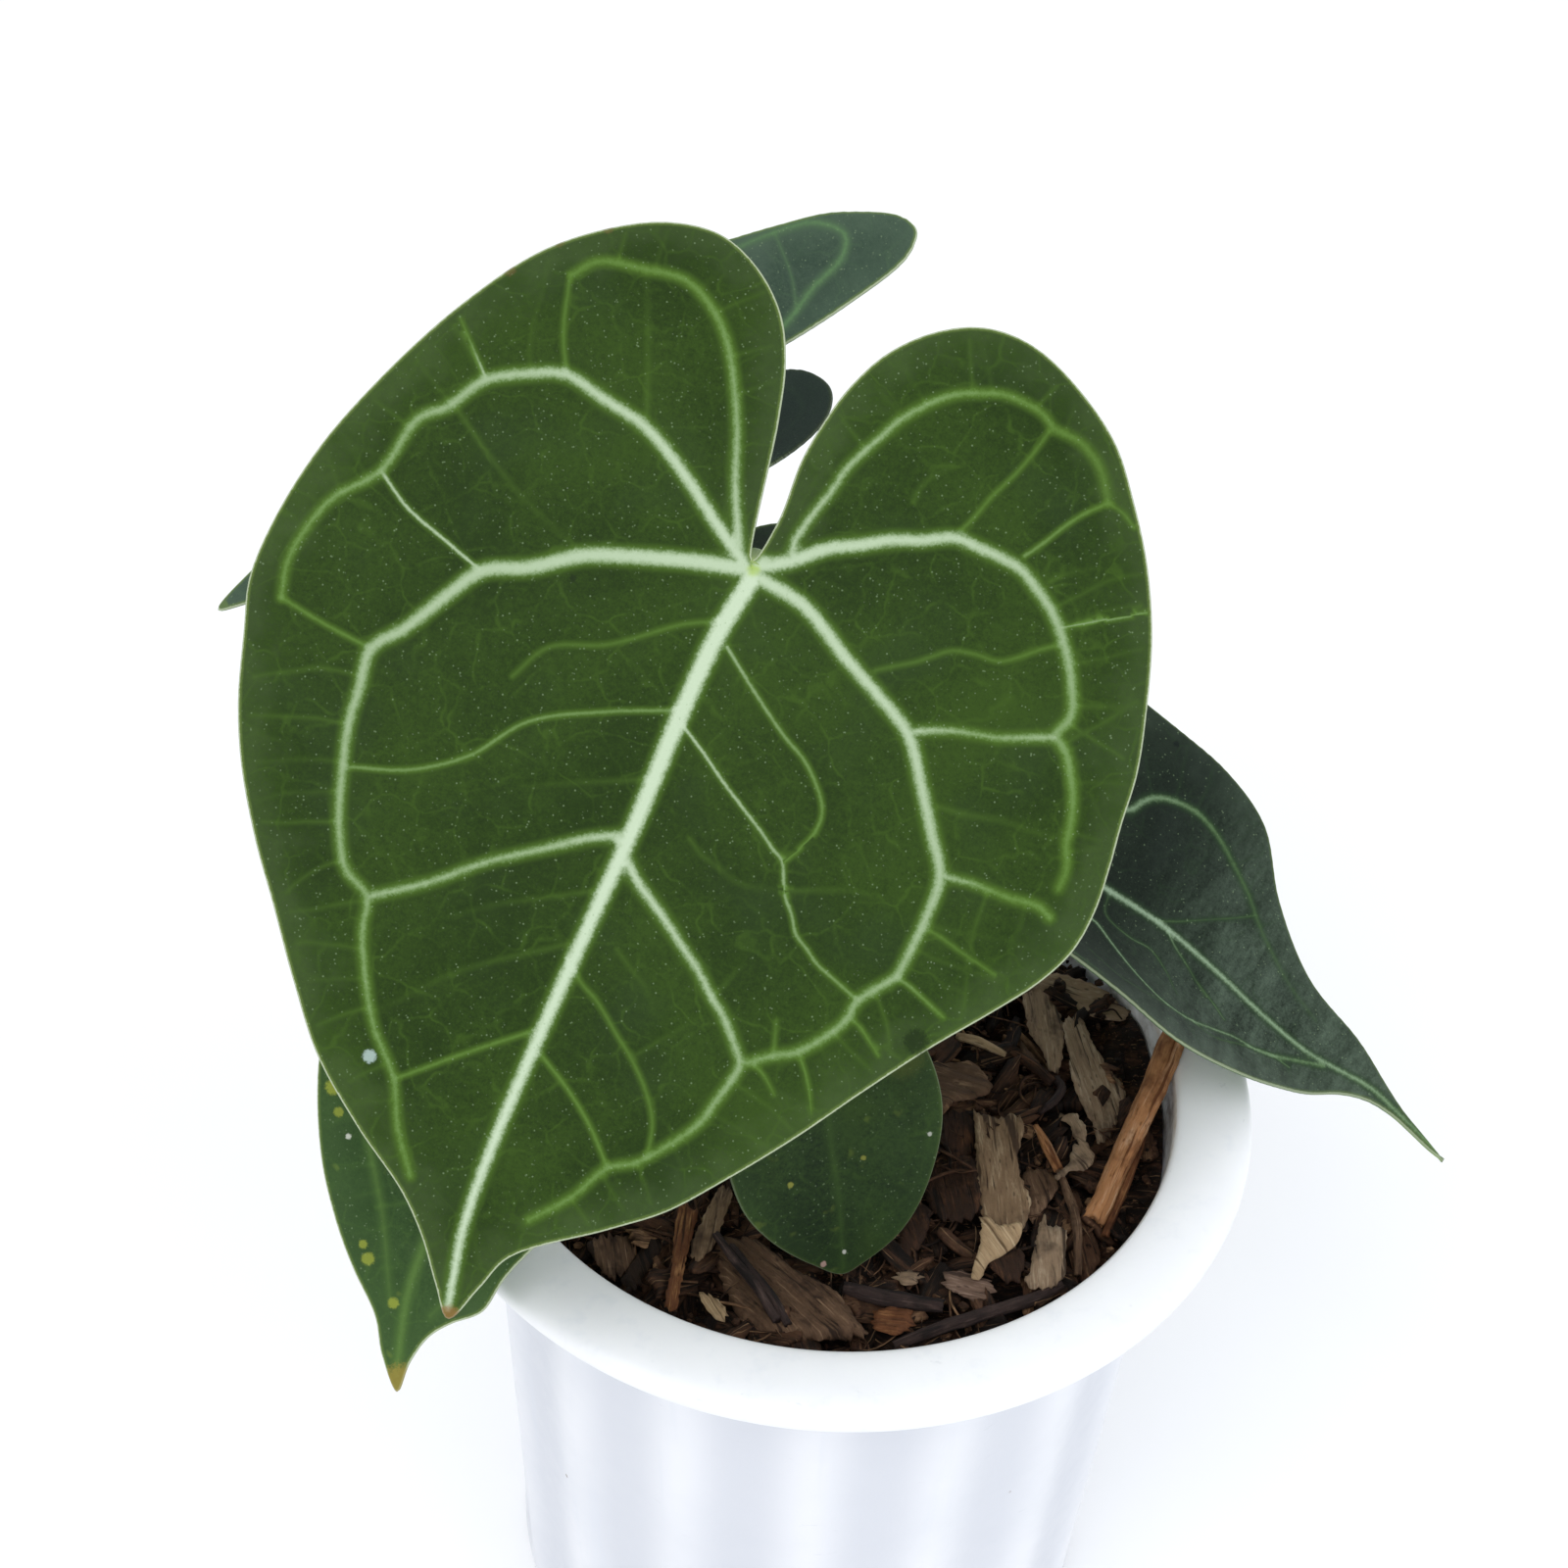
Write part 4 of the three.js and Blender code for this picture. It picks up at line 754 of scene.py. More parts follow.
def leaf_material(name, tones, marks=(), sheen=0.012, blotch=0.0, sheen_haze=0.0, rim=0.8, netted=0.3):
    """Velvety blade with pale veins. Distances in the attributes are in mm, the local vector in metres."""
    dark, light, glow, lime, side, silver, under = tones
    margin_sheen_tone = tuple(0.72 * a + 0.28 * b for a, b in zip(light, silver))
    s = Shade(name, Sheen_Weight=sheen, Sheen_Roughness=0.45, Specular_IOR_Level=0.08)
    local = s.attribute("local", "Vector")
    major, minor = s.attribute("major"), s.attribute("minor")
    major_pale, minor_pale = s.attribute("major_pale"), s.attribute("minor_pale")
    margin, upper, hub = s.attribute("margin"), s.attribute("upper"), s.attribute("hub")
    grain = s.noise(local, 2300, 4, 0.8)
    fuzz = s.swing(grain)
    mottle = s.swing(s.noise(local, 820, 3, 0.7))
    rag = s.plus(s.times(fuzz, 1.5), s.times(mottle, 1.1))
    broad = s.noise(local, 34, 3, 0.6)
    patch = s.noise(local, 160, 3, 0.6)
    tone = s.plus(broad, s.plus(s.times(fuzz, 0.75), s.times(mottle, 0.6)))
    colour = s.blend(s.step(tone, 0.25, 0.78), dark, light)
    colour = s.blend(s.step(s.plus(patch, s.times(fuzz, 0.5)), 0.42, 0.8, 0.0, 0.4), colour, light)
    colour = s.blend(s.step(s.noise(local, 55, 2, 0.5), 0.5, 0.72, 0.0, 0.35), colour, side)
    if sheen_haze:
        # Painted sheen: silvery streaks that run across between the veins, stronger towards the tip.
        y = s.parts(local)[1]
        streak = s.noise(local, 120, 5, 0.72, stretch=(0.5, 1.6, 1.0))
        lower = s.step(y, -0.042, -0.075, 0.06, 1.0)
        sheen_streaks = s.times(s.step(s.plus(streak, s.times(rag, 0.35)), 0.2, 0.85), lower, sheen_haze)
        colour = s.blend(sheen_streaks, colour, (104, 122, 104))
    if blotch:
        spots = s.step(s.noise(local, 210, 2, 0.5), 0.64, 0.74, 0.0, blotch)
        colour = s.blend(spots, colour, (132, 150, 62))
    # Painted sheen: the velvety blade is painted paler towards its margin, where its hairs catch the light.
    margin_sheen = s.plus(margin, s.plus(s.times(rag, 5.0), s.times(s.swing(patch), 16)))
    colour = s.blend(s.step(margin_sheen, 8.0, -1.0, 0.0, 0.24), colour, margin_sheen_tone)
    # A bright green halo along each vein. Two halos that meet add up, which webs the veins together.
    n_near = s.times(s.step(s.plus(minor, s.times(rag, 0.35)), 0.75, -0.25), s.step(minor_pale, 0.0, 0.5))
    m_near = s.times(s.step(s.plus(major, s.times(rag, 0.6)), 1.4, -0.2), s.step(major_pale, 0.0, 0.35))
    # A fine net between the veins, only just paler than the blade.
    bent = s.vector("ADD", local, s.vector("MULTIPLY", s.noise(local, 160, output="Color"), (0.005, 0.005, 0.005)))
    net = s.cells(bent, 130, "DISTANCE_TO_EDGE")
    net = s.times(s.step(net, 0.05, 0.0), s.step(patch, 0.35, 0.7, 0.1, 1.0), netted)
    colour = s.blend(net, colour, glow)
    near = s.plus(n_near, m_near, True)
    colour = s.blend(s.times(near, 0.92), colour, glow)
    n_core = s.times(s.step(s.plus(minor, s.times(rag, 0.3)), 0.15, -0.3), s.step(minor_pale, 0.1, 0.75))
    colour = s.blend(s.times(n_core, 0.8), colour, s.blend(s.step(minor_pale, 0.4, 0.8), lime, silver))
    side_of = s.math("SUBTRACT", s.plus(major, s.times(rag, 0.7)), s.times(n_near, 0.3))
    flank = s.blend(s.step(major_pale, 0.4, 1.1), lime, s.blend(0.4, lime, silver))
    colour = s.blend(s.times(s.step(side_of, 0.5, -0.5), s.step(major_pale, 0.0, 0.6, 0.1, 0.8)), colour, flank)
    core = s.times(s.step(side_of, 0.25, -0.9), s.step(major_pale, 0.25, 1.35))
    colour = s.blend(core, colour, silver)
    # Tiny pale specks: loose hairs with painted glints on them, and dust.
    hair_glints = s.step(s.cells(local, 1250), 0.27, 0.08)
    some = s.step(s.noise(local, 900, 2, 0.6), 0.5, 0.6)
    colour = s.blend(s.times(hair_glints, some, 0.42), colour, (140, 162, 124))
    dust = s.times(s.step(s.cells(local, 640), 0.085, 0.03), s.step(s.noise(local, 75, 2), 0.5, 0.66), 0.26)
    colour = s.blend(dust, colour, (196, 206, 188))
    colour = s.blend(s.step(s.plus(hub, s.times(rag, 0.8)), 1.5, 0.4, 0.0, 0.7), colour, (158, 186, 70))
    edge = s.plus(margin, s.times(rag, 0.3))
    colour = s.blend(s.step(edge, 0.8, 0.35, 0.0, 0.6 * rim), colour, (112, 134, 66))
    colour = s.blend(s.step(edge, 0.3, 0.12, 0.0, rim), colour, (186, 196, 166))
    for at, radius, tone, amount in marks:
        away = s.vector("DISTANCE", local, (at[0] * MM, at[1] * MM, 0), "Value")
        away = s.plus(away, s.times(fuzz, radius * 0.0012))
        colour = s.blend(s.step(away, radius * MM, radius * MM * 0.55, 0.0, amount), colour, tone)
    below = s.blend(s.step(broad, 0.3, 0.7), under, s.blend(0.25, under, lime))
    rib = s.math("MAXIMUM", s.step(major, 1.0, -0.2), s.step(minor, 0.4, -0.1, 0.0, 0.5))
    below = s.blend(s.times(rib, 0.8), below, (150, 172, 104))
    s.colour(s.blend(s.step(upper, 0.35, 0.65), below, colour))
    s.rough(s.step(grain, 0.2, 0.8, 0.42, 0.62))
    s.bump(grain, 0.00012, 0.6)
    s.bump(s.noise(local, 420, 3, 0.6), 0.0002, 0.5)
    s.bump(s.step(minor, 1.1, -0.1, 1.0, 0.0), 0.00012, 0.6)
    return s.material


# Stalks and crown


def stalk_route(leaf):
    """From the foot in the crown, round into the blade's back."""
    x_axis, y_axis, normal = blade_axes(leaf)
    at = np.asarray(leaf["at"], float)
    return np.vstack([leaf["stalk"], at + y_axis - 9 * normal, at - y_axis - 0.2 * normal])


def make_stalk(name, leaf, material):
    route, _ = even(spline(stalk_route(leaf), 400), 1.2)
    length = lengths(route)
    left = length[-1] - length
    radii = 2.3 - 0.15 * length / length[-1]
    radii = radii + 0.75 * np.exp(-(((left - 5) / 4.5) ** 2)) + 0.5 * np.exp(-((length / 9) ** 2))
    radii = np.where(left < 1.2, radii * 0.9, radii)
    points, faces, grain = tube(route, radii, 20)
    wobble = np.array([noise.noise(Vector(p * 0.12)) for p in points])
    middle = np.repeat(route, 20, axis=0)
    middle = np.vstack([middle, route[:1], route[-1:]])
    points = middle + (points - middle) * (1 + 0.05 * wobble[:, None])
    along = np.concatenate([np.repeat(length / length[-1], 20), [0, 1]])
    obj = make_mesh("petiole_" + name + "_fine", points, faces, material, {"along": along}, {"grain": grain * MM})
    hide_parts("petiole_" + name)
    return obj


def stalk_material():
    s = Shade("stalk", Specular_IOR_Level=0.45)
    grain, along = s.attribute("grain", "Vector"), s.attribute("along")
    streak = s.noise(grain, 1800, 3, 0.6, stretch=(0.08, 1, 1))
    patch = s.noise(grain, 110, 3, 0.6)
    fleck = s.step(s.noise(grain, 1300, 2, stretch=(0.35, 1, 1)), 0.62, 0.72)
    colour = s.blend(s.step(patch, 0.35, 0.7), (86, 118, 56), (118, 146, 78))
    colour = s.blend(s.step(streak, 0.4, 0.7, 0.0, 0.5), colour, (134, 160, 96))
    colour = s.blend(s.times(fleck, 0.35), colour, (176, 190, 140))
    foot = s.step(s.plus(along, s.times(s.swing(patch), 0.2)), 0.22, 0.0, 0.0, 0.75)
    colour = s.blend(foot, colour, (110, 78, 58))
    colour = s.blend(s.step(along, 0.93, 0.99, 0.0, 0.6), colour, (150, 172, 96))
    s.colour(colour)
    s.rough(s.step(streak, 0.3, 0.7, 0.36, 0.52))
    s.bump(streak, 0.00018, 0.6)
    return s.material


# Pot

POT_HEIGHT, RIM_R, MOUTH_R, POT_FLOOR = 130, 75, 61.2, 3
BODY_TOP_R, BODY_BASE_R, BODY_TOP_Z = 62.8, 56, 119
FLUTES, FLUTE_DEPTH, FLUTE_LOW_Z, FLUTE_HIGH_Z = 16, 1.1, 6, 110
DRAIN_HOLES, DRAIN_R, DRAIN_RING_R, DRAIN_SIDES = 6, 4, 33, 24
MIX_LEVEL, MIX_FOOT = 120.5, 3.4


def body_radius(z):
    """Outer radius of the pot's body."""
    return BODY_BASE_R + (BODY_TOP_R - BODY_BASE_R) * z / BODY_TOP_Z


def wall_radius(z):
    """Inner radius of the pot."""
    return MOUTH_R - (POT_HEIGHT - z) * (BODY_TOP_R - BODY_BASE_R) / BODY_TOP_Z


def smooth(x, low, high):
    t = np.clip((x - low) / (high - low), 0, 1)
    return t * t * (3 - 2 * t)


def make_pot(material):
    around = FLUTES * 20
    lower = [[55.0, 0.0], [55.7, 0.35], [56.0, 1.2]] + [[body_radius(z), z] for z in np.linspace(4, 116, 26)]
    neck = spline([[62.65, 117.5], [62.8, 119], [65.6, 121], [70.8, 123.0], [73.0, 123.45]], 12).tolist()
    roll = spline([[73.3, 123.7], [74.4, 124.7], [75, 126.5], [74.7, 127.9], [73.8, 128.8], [71.4, 129.7],
                   [67.5, 130.15], [63.6, 130.0], [61.9, 129.5], [61.2, 128.4]], 40).tolist()
    inner = [[wall_radius(z), z] for z in np.linspace(126.5, POT_FLOOR, 24)]
    profile = np.array(lower + neck + roll + inner)
    profile[:, 0] = np.minimum(profile[:, 0], RIM_R)
    profile[:, 1] = np.clip(profile[:, 1], 0, POT_HEIGHT + 0.2)
    angle = 2 * np.pi * np.arange(around) / around
    outside = len(lower) + len(neck)
    points = []
    for k, (r, z) in enumerate(profile):
        fade = smooth(z, 0, FLUTE_LOW_Z) * (1 - smooth(z, FLUTE_HIGH_Z, BODY_TOP_Z)) if k < outside else 0
        radius = r - FLUTE_DEPTH * fade * (1 - np.abs(np.cos(FLUTES / 2 * angle)) ** 3)
        points.append(np.stack([radius * np.cos(angle), radius * np.sin(angle), np.full(around, z)], 1))
    points = np.vstack(points)
    turns = 2 * np.pi * np.arange(DRAIN_HOLES) / DRAIN_HOLES
    round_hole = 2 * np.pi * np.arange(DRAIN_SIDES) / DRAIN_SIDES
    holes = [np.stack([DRAIN_RING_R * math.cos(a) + DRAIN_R * np.cos(round_hole),
                       DRAIN_RING_R * math.sin(a) + DRAIN_R * np.sin(round_hole)], 1) for a in turns]
    all_points, all_faces = [points], loft(len(profile), around)
    count = len(points)
    for ring, z, turn in ((points[:around, :2], 0, -1), (points[-around:, :2], POT_FLOOR, 1)):
        flat, tris = fill(ring, 3.0, (), holes)
        all_points.append(np.column_stack([flat, np.full(len(flat), float(z))]))
        all_faces += (tris[:, ::turn] + count).tolist()
        count += len(flat)
    for hole in holes:
        for z in (0, POT_FLOOR):
            all_points.append(np.column_stack([hole, np.full(DRAIN_SIDES, float(z))]))
        all_faces += loft(2, DRAIN_SIDES, count, inward=True)
        count += 2 * DRAIN_SIDES
    everywhere = np.vstack(all_points)
    lining = np.zeros(len(everywhere))
    lining[: len(points)] = np.repeat(np.arange(len(profile)) >= len(profile) - len(inner) - 2, around)
    obj = make_mesh("pot_fine", everywhere, all_faces, material, {"lining": lining})
    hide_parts("pot")
    return obj


def pot_material():
    s = Shade("pot_plastic", Specular_IOR_Level=0.5, Subsurface_Weight=0.12, Subsurface_Scale=0.004)
    s.put(s.shader.inputs["Subsurface Radius"], (1.0, 1.0, 1.1))
    place = s.place()
    x, y, z = s.parts(place)
    radius = s.math("SQRT", s.plus(s.times(x, x), s.times(y, y)))
    cloud = s.noise(place, 22, 4, 0.6)
    fine = s.noise(place, 260, 3, 0.6)
    # Painted shade: the body below the rim is painted darker and bluer than the rim, which faces the light from above.
    rim = s.blend(s.step(cloud, 0.3, 0.7), (240, 241, 244), (246, 247, 249))
    body = s.blend(s.step(cloud, 0.3, 0.7), (226, 228, 234), (234, 235, 240))
    colour = s.blend(s.step(z, 0.1185, 0.1225), body, rim)
    # Painted shade: the grooves of the body are painted a little darker than the narrow ridges between them.
    turn = s.times(s.math("ARCTAN2", y, x), FLUTES / 2)
    ridge = s.math("POWER", s.math("ABSOLUTE", s.math("COSINE", turn)), 3.0)
    flute_shade = s.times(s.math("SUBTRACT", 1.0, ridge), s.step(z, 0.118, 0.108), s.step(z, 0.0, 0.008))
    colour = s.blend(s.times(flute_shade, 0.75), colour, (206, 209, 218))
    streak = s.noise(place, 190, 3, 0.6, stretch=(1, 1, 0.06))
    colour = s.blend(s.step(streak, 0.55, 0.8, 0.0, 0.25), colour, (214, 220, 230))
    # Dirt specks, scuffs and a thin brown line where the mix meets the lip.
    specks = s.step(s.cells(place, 160), 0.085, 0.05)
    some = s.step(s.noise(place, 60, 1), 0.6, 0.66)
    colour = s.blend(s.times(specks, some, 0.8), colour, (120, 104, 88))
    scuff = s.step(s.noise(place, 120, 4, 0.75, stretch=(1, 1, 6)), 0.66, 0.72, 0.0, 0.25)
    colour = s.blend(scuff, colour, (188, 192, 198))
    wall = s.times(s.attribute("lining"), s.step(z, 0.1290, 0.1268))
    stain = s.blend(s.step(fine, 0.35, 0.65), (120, 104, 90), (214, 212, 208))
    colour = s.blend(s.times(wall, s.step(s.noise(place, 120, 4, 0.7), 0.35, 0.65, 0.1, 0.9)), colour, stain)
    lip = s.times(s.step(radius, 0.0617, 0.0613), s.step(z, 0.1274, 0.1280), s.step(z, 0.1291, 0.1287))
    colour = s.blend(s.times(lip, s.step(fine, 0.3, 0.7, 0.1, 0.55)), colour, (176, 152, 116))
    algae_spot = s.vector("DISTANCE", place, (-0.058, -0.033, 0.1295), "Value")
    algae = s.times(s.step(algae_spot, 0.02, 0.004), s.step(s.noise(place, 150, 4, 0.7), 0.4, 0.65), 0.45)
    colour = s.blend(algae, colour, (176, 190, 140))
    s.colour(colour)
    s.rough(s.step(fine, 0.3, 0.7, 0.34, 0.46))
    s.bump(s.noise(place, 900, 3, 0.6), 0.00005, 0.6)
    s.bump(s.noise(place, 60, 2, 0.5), 0.0004, 0.4)
    return s.material


# Potting mix

CHIPS, DEEP_CHIPS, FIBRES, CRUMBS = 430, 260, 320, 1500


def mix_height(x, y):
    """Height of the mix without its bank. The larger bits lie on this."""
    heap = 1.6 * (1 - (x * x + y * y) / MOUTH_R**2)
    lumps = 0.8 * np.sin(0.21 * x + 0.4) * np.cos(0.17 * y - 0.8) + 0.5 * np.sin(0.43 * y + 0.31 * x)
    return MIX_LEVEL + heap + lumps


def surface(x, y):
    """Height of the mix, with the bank that is heaped against the wall at the right."""
    angle = math.degrees(math.atan2(y, x))
    bank = 5.5 * float(smooth(math.hypot(x, y), 47, 59)) * math.exp(-(((angle - 22) / 17) ** 2))
    return float(mix_height(x, y)) + bank


def make_mix_bed(material):
    """The dark fine part of the mix, a little below the chips."""
    rings, around = 84, 260
    top_r = wall_radius(MIX_LEVEL) - 0.35
    angle = 2 * np.pi * np.arange(around) / around
    points = [[0, 0, float(mix_height(0, 0)) - 2.5]]
    for k in range(1, rings + 1):
        r = top_r * k / rings
        for a in angle:
            x, y = r * math.cos(a), r * math.sin(a)
            lump = noise.turbulence(Vector((x * 0.13, y * 0.13, 3.1)), 5, False, noise_basis="PERLIN_ORIGINAL")
            edge = min(1.0, (top_r - r) / 2 + 0.25)
            points.append([x, y, surface(x, y) - 3.2 + 3.4 * (lump - 0.35) * edge])
    for z in (60, MIX_FOOT):
        r = wall_radius(z) - 0.5
        points += [[r * math.cos(a), r * math.sin(a), z] for a in angle]
    faces = [[0, 1 + i, 1 + (i + 1) % around] for i in range(around)]
    faces += loft(rings + 2, around, 1, inward=True)
    last = 1 + (rings + 1) * around
    points.append([0, 0, MIX_FOOT])
    faces += [[len(points) - 1, last + (i + 1) % around, last + i] for i in range(around)]
    points = np.array(points)
    tint = np.clip(0.12 + 0.1 * np.sin(points[:, 0]) * np.cos(points[:, 1]), 0, 1)
    obj = make_mesh("mix_bed", points, faces, material, {"tint": tint}, {"grain": points * MM})
    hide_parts("potting_mix")
    return obj


def slab(length, width, thick, nx, ny, draws, ragged=0.2, bend=0.0, taper=0.3):
    """A splinter of bark with fibres along x, ragged at its ends. Returns points, faces and grain."""
    u = np.linspace(-1, 1, nx)
    v = np.linspace(-1, 1, ny)
    shift = draws.uniform(0, 60, 3)
    wide = 1 - taper * np.abs(u + draws.uniform(-0.4, 0.4)) ** 2
    wide *= 1 + 0.18 * np.sin(u * draws.uniform(2, 5) + draws.uniform(0, 6))
    end = ragged * length * draws.normal(0, 0.5, (2, ny))
    top, low, grain = [], [], []
    for i, a in enumerate(u):
        for j, b in enumerate(v):
            reach = end[1][j] if a > 0 else end[0][j]
            x = a * length / 2 + reach * abs(a) ** 3
            y = b * width / 2 * max(wide[i], 0.15)
            fibre = perlin(x * 0.09 + shift[0], y * 1.1 + shift[1], shift[2])
            rough = perlin(x * 0.5 + shift[1], y * 0.6, shift[0])
            side = 1 - 0.75 * abs(b) ** 4
            z = bend * a * a + (fibre * 0.55 + rough * 0.4) * thick * 0.6
            top.append([x, y, z + thick / 2 * side])
            low.append([x, y, z - thick / 2 * side])
            grain.append([x, y, 0])
    shell = np.array(top + low)
    grain = np.array(grain + grain) + shift
    return shell, sheet(nx, ny), grain


def turned(points, heading, pitch, roll, at):
    """Local points placed in the row frame. Angles in degrees."""
    m = Matrix.Rotation(math.radians(heading), 3, "Z") @ Matrix.Rotation(math.radians(pitch), 3, "Y")
    m = np.array(m @ Matrix.Rotation(math.radians(roll), 3, "X"))
    return points @ m.T + np.asarray(at, float)


def bark_material(name, dark, middle, light, gloss=0.25):
    """Fibrous bark: streaks along the grain, darker and lighter pieces by their tint."""
    s = Shade(name, Specular_IOR_Level=gloss)
    grain, tint = s.attribute("grain", "Vector"), s.attribute("tint")
    streak = s.noise(grain, 1100, 6, 0.75, stretch=(0.14, 1, 1))
    patch = s.noise(grain, 260, 4, 0.65, stretch=(0.5, 1, 1))
    crack = s.noise(grain, 680, 3, 0.6, 0.4, stretch=(0.09, 1, 1))
    stain = s.noise(grain, 95, 4, 0.7)
    shade = s.plus(tint, s.times(s.swing(streak), 1.5))
    shade = s.plus(shade, s.times(s.swing(patch), 1.1))
    colour = s.blend(s.step(shade, 0.0, 0.5), dark, middle)
    colour = s.blend(s.step(shade, 0.5, 1.15), colour, light)
    colour = s.blend(s.step(s.noise(grain, 2600, 2, stretch=(0.04, 1, 1)), 0.62, 0.72, 0.0, 0.5), colour, light)
    colour = s.blend(s.step(stain, 0.5, 0.68, 0.0, 0.66), colour, dark)
    colour = s.blend(s.step(crack, 0.44, 0.36, 0.0, 0.85), colour, dark)
    pits = s.step(s.cells(s.vector("MULTIPLY", grain, (0.4, 1, 1)), 900), 0.22, 0.1, 0.0, 0.6)
    colour = s.blend(s.times(pits, s.step(patch, 0.45, 0.55)), colour, dark)
    s.colour(colour)
    s.rough(s.step(streak, 0.3, 0.7, 0.6, 0.85))
    s.bump(streak, 0.0008, 0.9)
    s.bump(crack, 0.001, 0.8)
    return s.material


def spot(draws, reach):
    """A random place on the mix: x, y, distance from the middle, and direction."""
    r = reach * math.sqrt(draws.uniform(0, 1))
    a = draws.uniform(0, 2 * math.pi)
    return r * math.cos(a), r * math.sin(a), r, a


def make_chips(material):
    draws = np.random.default_rng(5)
    skin = Skin()
    for k in range(CHIPS):
        deep = k < DEEP_CHIPS
        x, y, r, a = spot(draws, MOUTH_R - 5)
        length = draws.uniform(5, 15 if deep else 12)
        room = MOUTH_R - 1.2 - r
        width = min(length * draws.uniform(0.25, 0.6), 7)
        heading = math.degrees(a) + 90 + draws.normal(0, 30) if room < length / 2 else draws.uniform(0, 360)
        if room < length / 2:
            length = min(length, 9)
            width = min(width, 2 * room)
        shape, faces, grain = slab(length, width, draws.uniform(0.8, 2.4), 8, 5, draws, 0.16, draws.normal(0, 0.5))
        lift = draws.uniform(-3.2, -1.2) if deep else draws.uniform(-1.4, 0.5)
        place = [x, y, surface(x, y) + lift]
        shape = turned(shape, heading, draws.normal(0, 17), draws.normal(0, 24), place)
        tint = np.clip(draws.normal(0.28, 0.22), 0.0, 0.95)
        skin.add(shape, faces, grain, tint)
    return skin.make("mix_chips", material)


def make_fibres(material):
    draws = np.random.default_rng(8)
    skin = Skin()
    for _ in range(FIBRES):
        x, y, r, _ = spot(draws, MOUTH_R - 6)
        heading = draws.uniform(0, 2 * math.pi)
        length = min(draws.uniform(5, 22), 2 * (MOUTH_R - 1.5 - r) + 3)
        steps = 7
        route = []
        turn = draws.normal(0, 0.22)
        for k in range(steps):
            arch = 0.9 * math.sin(math.pi * k / (steps - 1))
            route.append([x, y, surface(x, y) + draws.uniform(-0.9, 0.2) + arch])
            x += length / (steps - 1) * math.cos(heading)
            y += length / (steps - 1) * math.sin(heading)
            heading += turn + draws.normal(0, 0.15)
            if math.hypot(x, y) > MOUTH_R - 1.2:
                heading += math.pi / 2
        route = np.array(route)
        if np.hypot(route[:, 0], route[:, 1]).max() > MOUTH_R - 1:
            continue
        route = spline(route, 14)
        thick = draws.choice([0.12, 0.18, 0.25, 0.4])
        points, faces, grain = tube(route, np.full(14, thick) * np.linspace(1, 0.6, 14), 5)
        skin.add(points, faces, grain, np.clip(draws.normal(0.35, 0.25), 0, 1))
    return skin.make("mix_fibres", material)


def make_crumbs(material):
    draws = np.random.default_rng(9)
    skin = Skin()
    g = (1 + 5**0.5) / 2
    base = np.array([[-1, g, 0], [1, g, 0], [-1, -g, 0], [1, -g, 0], [0, -1, g], [0, 1, g], [0, -1, -g], [0, 1, -g],
                     [g, 0, -1], [g, 0, 1], [-g, 0, -1], [-g, 0, 1]]) / 1.9
    faces = [[0, 11, 5], [0, 5, 1], [0, 1, 7], [0, 7, 10], [0, 10, 11], [1, 5, 9], [5, 11, 4], [11, 10, 2], [10, 7, 6],
             [7, 1, 8], [3, 9, 4], [3, 4, 2], [3, 2, 6], [3, 6, 8], [3, 8, 9], [4, 9, 5], [2, 4, 11], [6, 2, 10],
             [8, 6, 7], [9, 8, 1]]
    for _ in range(CRUMBS):
        x, y, _, _ = spot(draws, MOUTH_R - 2.2)
        size = draws.uniform(0.25, 0.9)
        shape = base * (1 + draws.normal(0, 0.22, base.shape)) * size * draws.uniform(0.6, 1.3, 3)
        heading, pitch, lift = draws.uniform(0, 360), draws.uniform(0, 90), draws.uniform(-2.6, 0.3)
        shape = turned(shape, heading, pitch, 0, [x, y, surface(x, y) + lift])
        tint = 0.95 if draws.uniform() < 0.05 else np.clip(draws.normal(0.3, 0.2), 0, 0.8)
        skin.add(shape, faces, shape, tint)
    return skin.make("mix_crumbs", material, smooth=False)


# Larger bits on the mix, each where it lies. A plank is (node it stands for, or "", look, slot, fibre heading,
# thickness, lift, pitch along the fibres, roll across them, curl of its sides, outline). Lengths in mm.

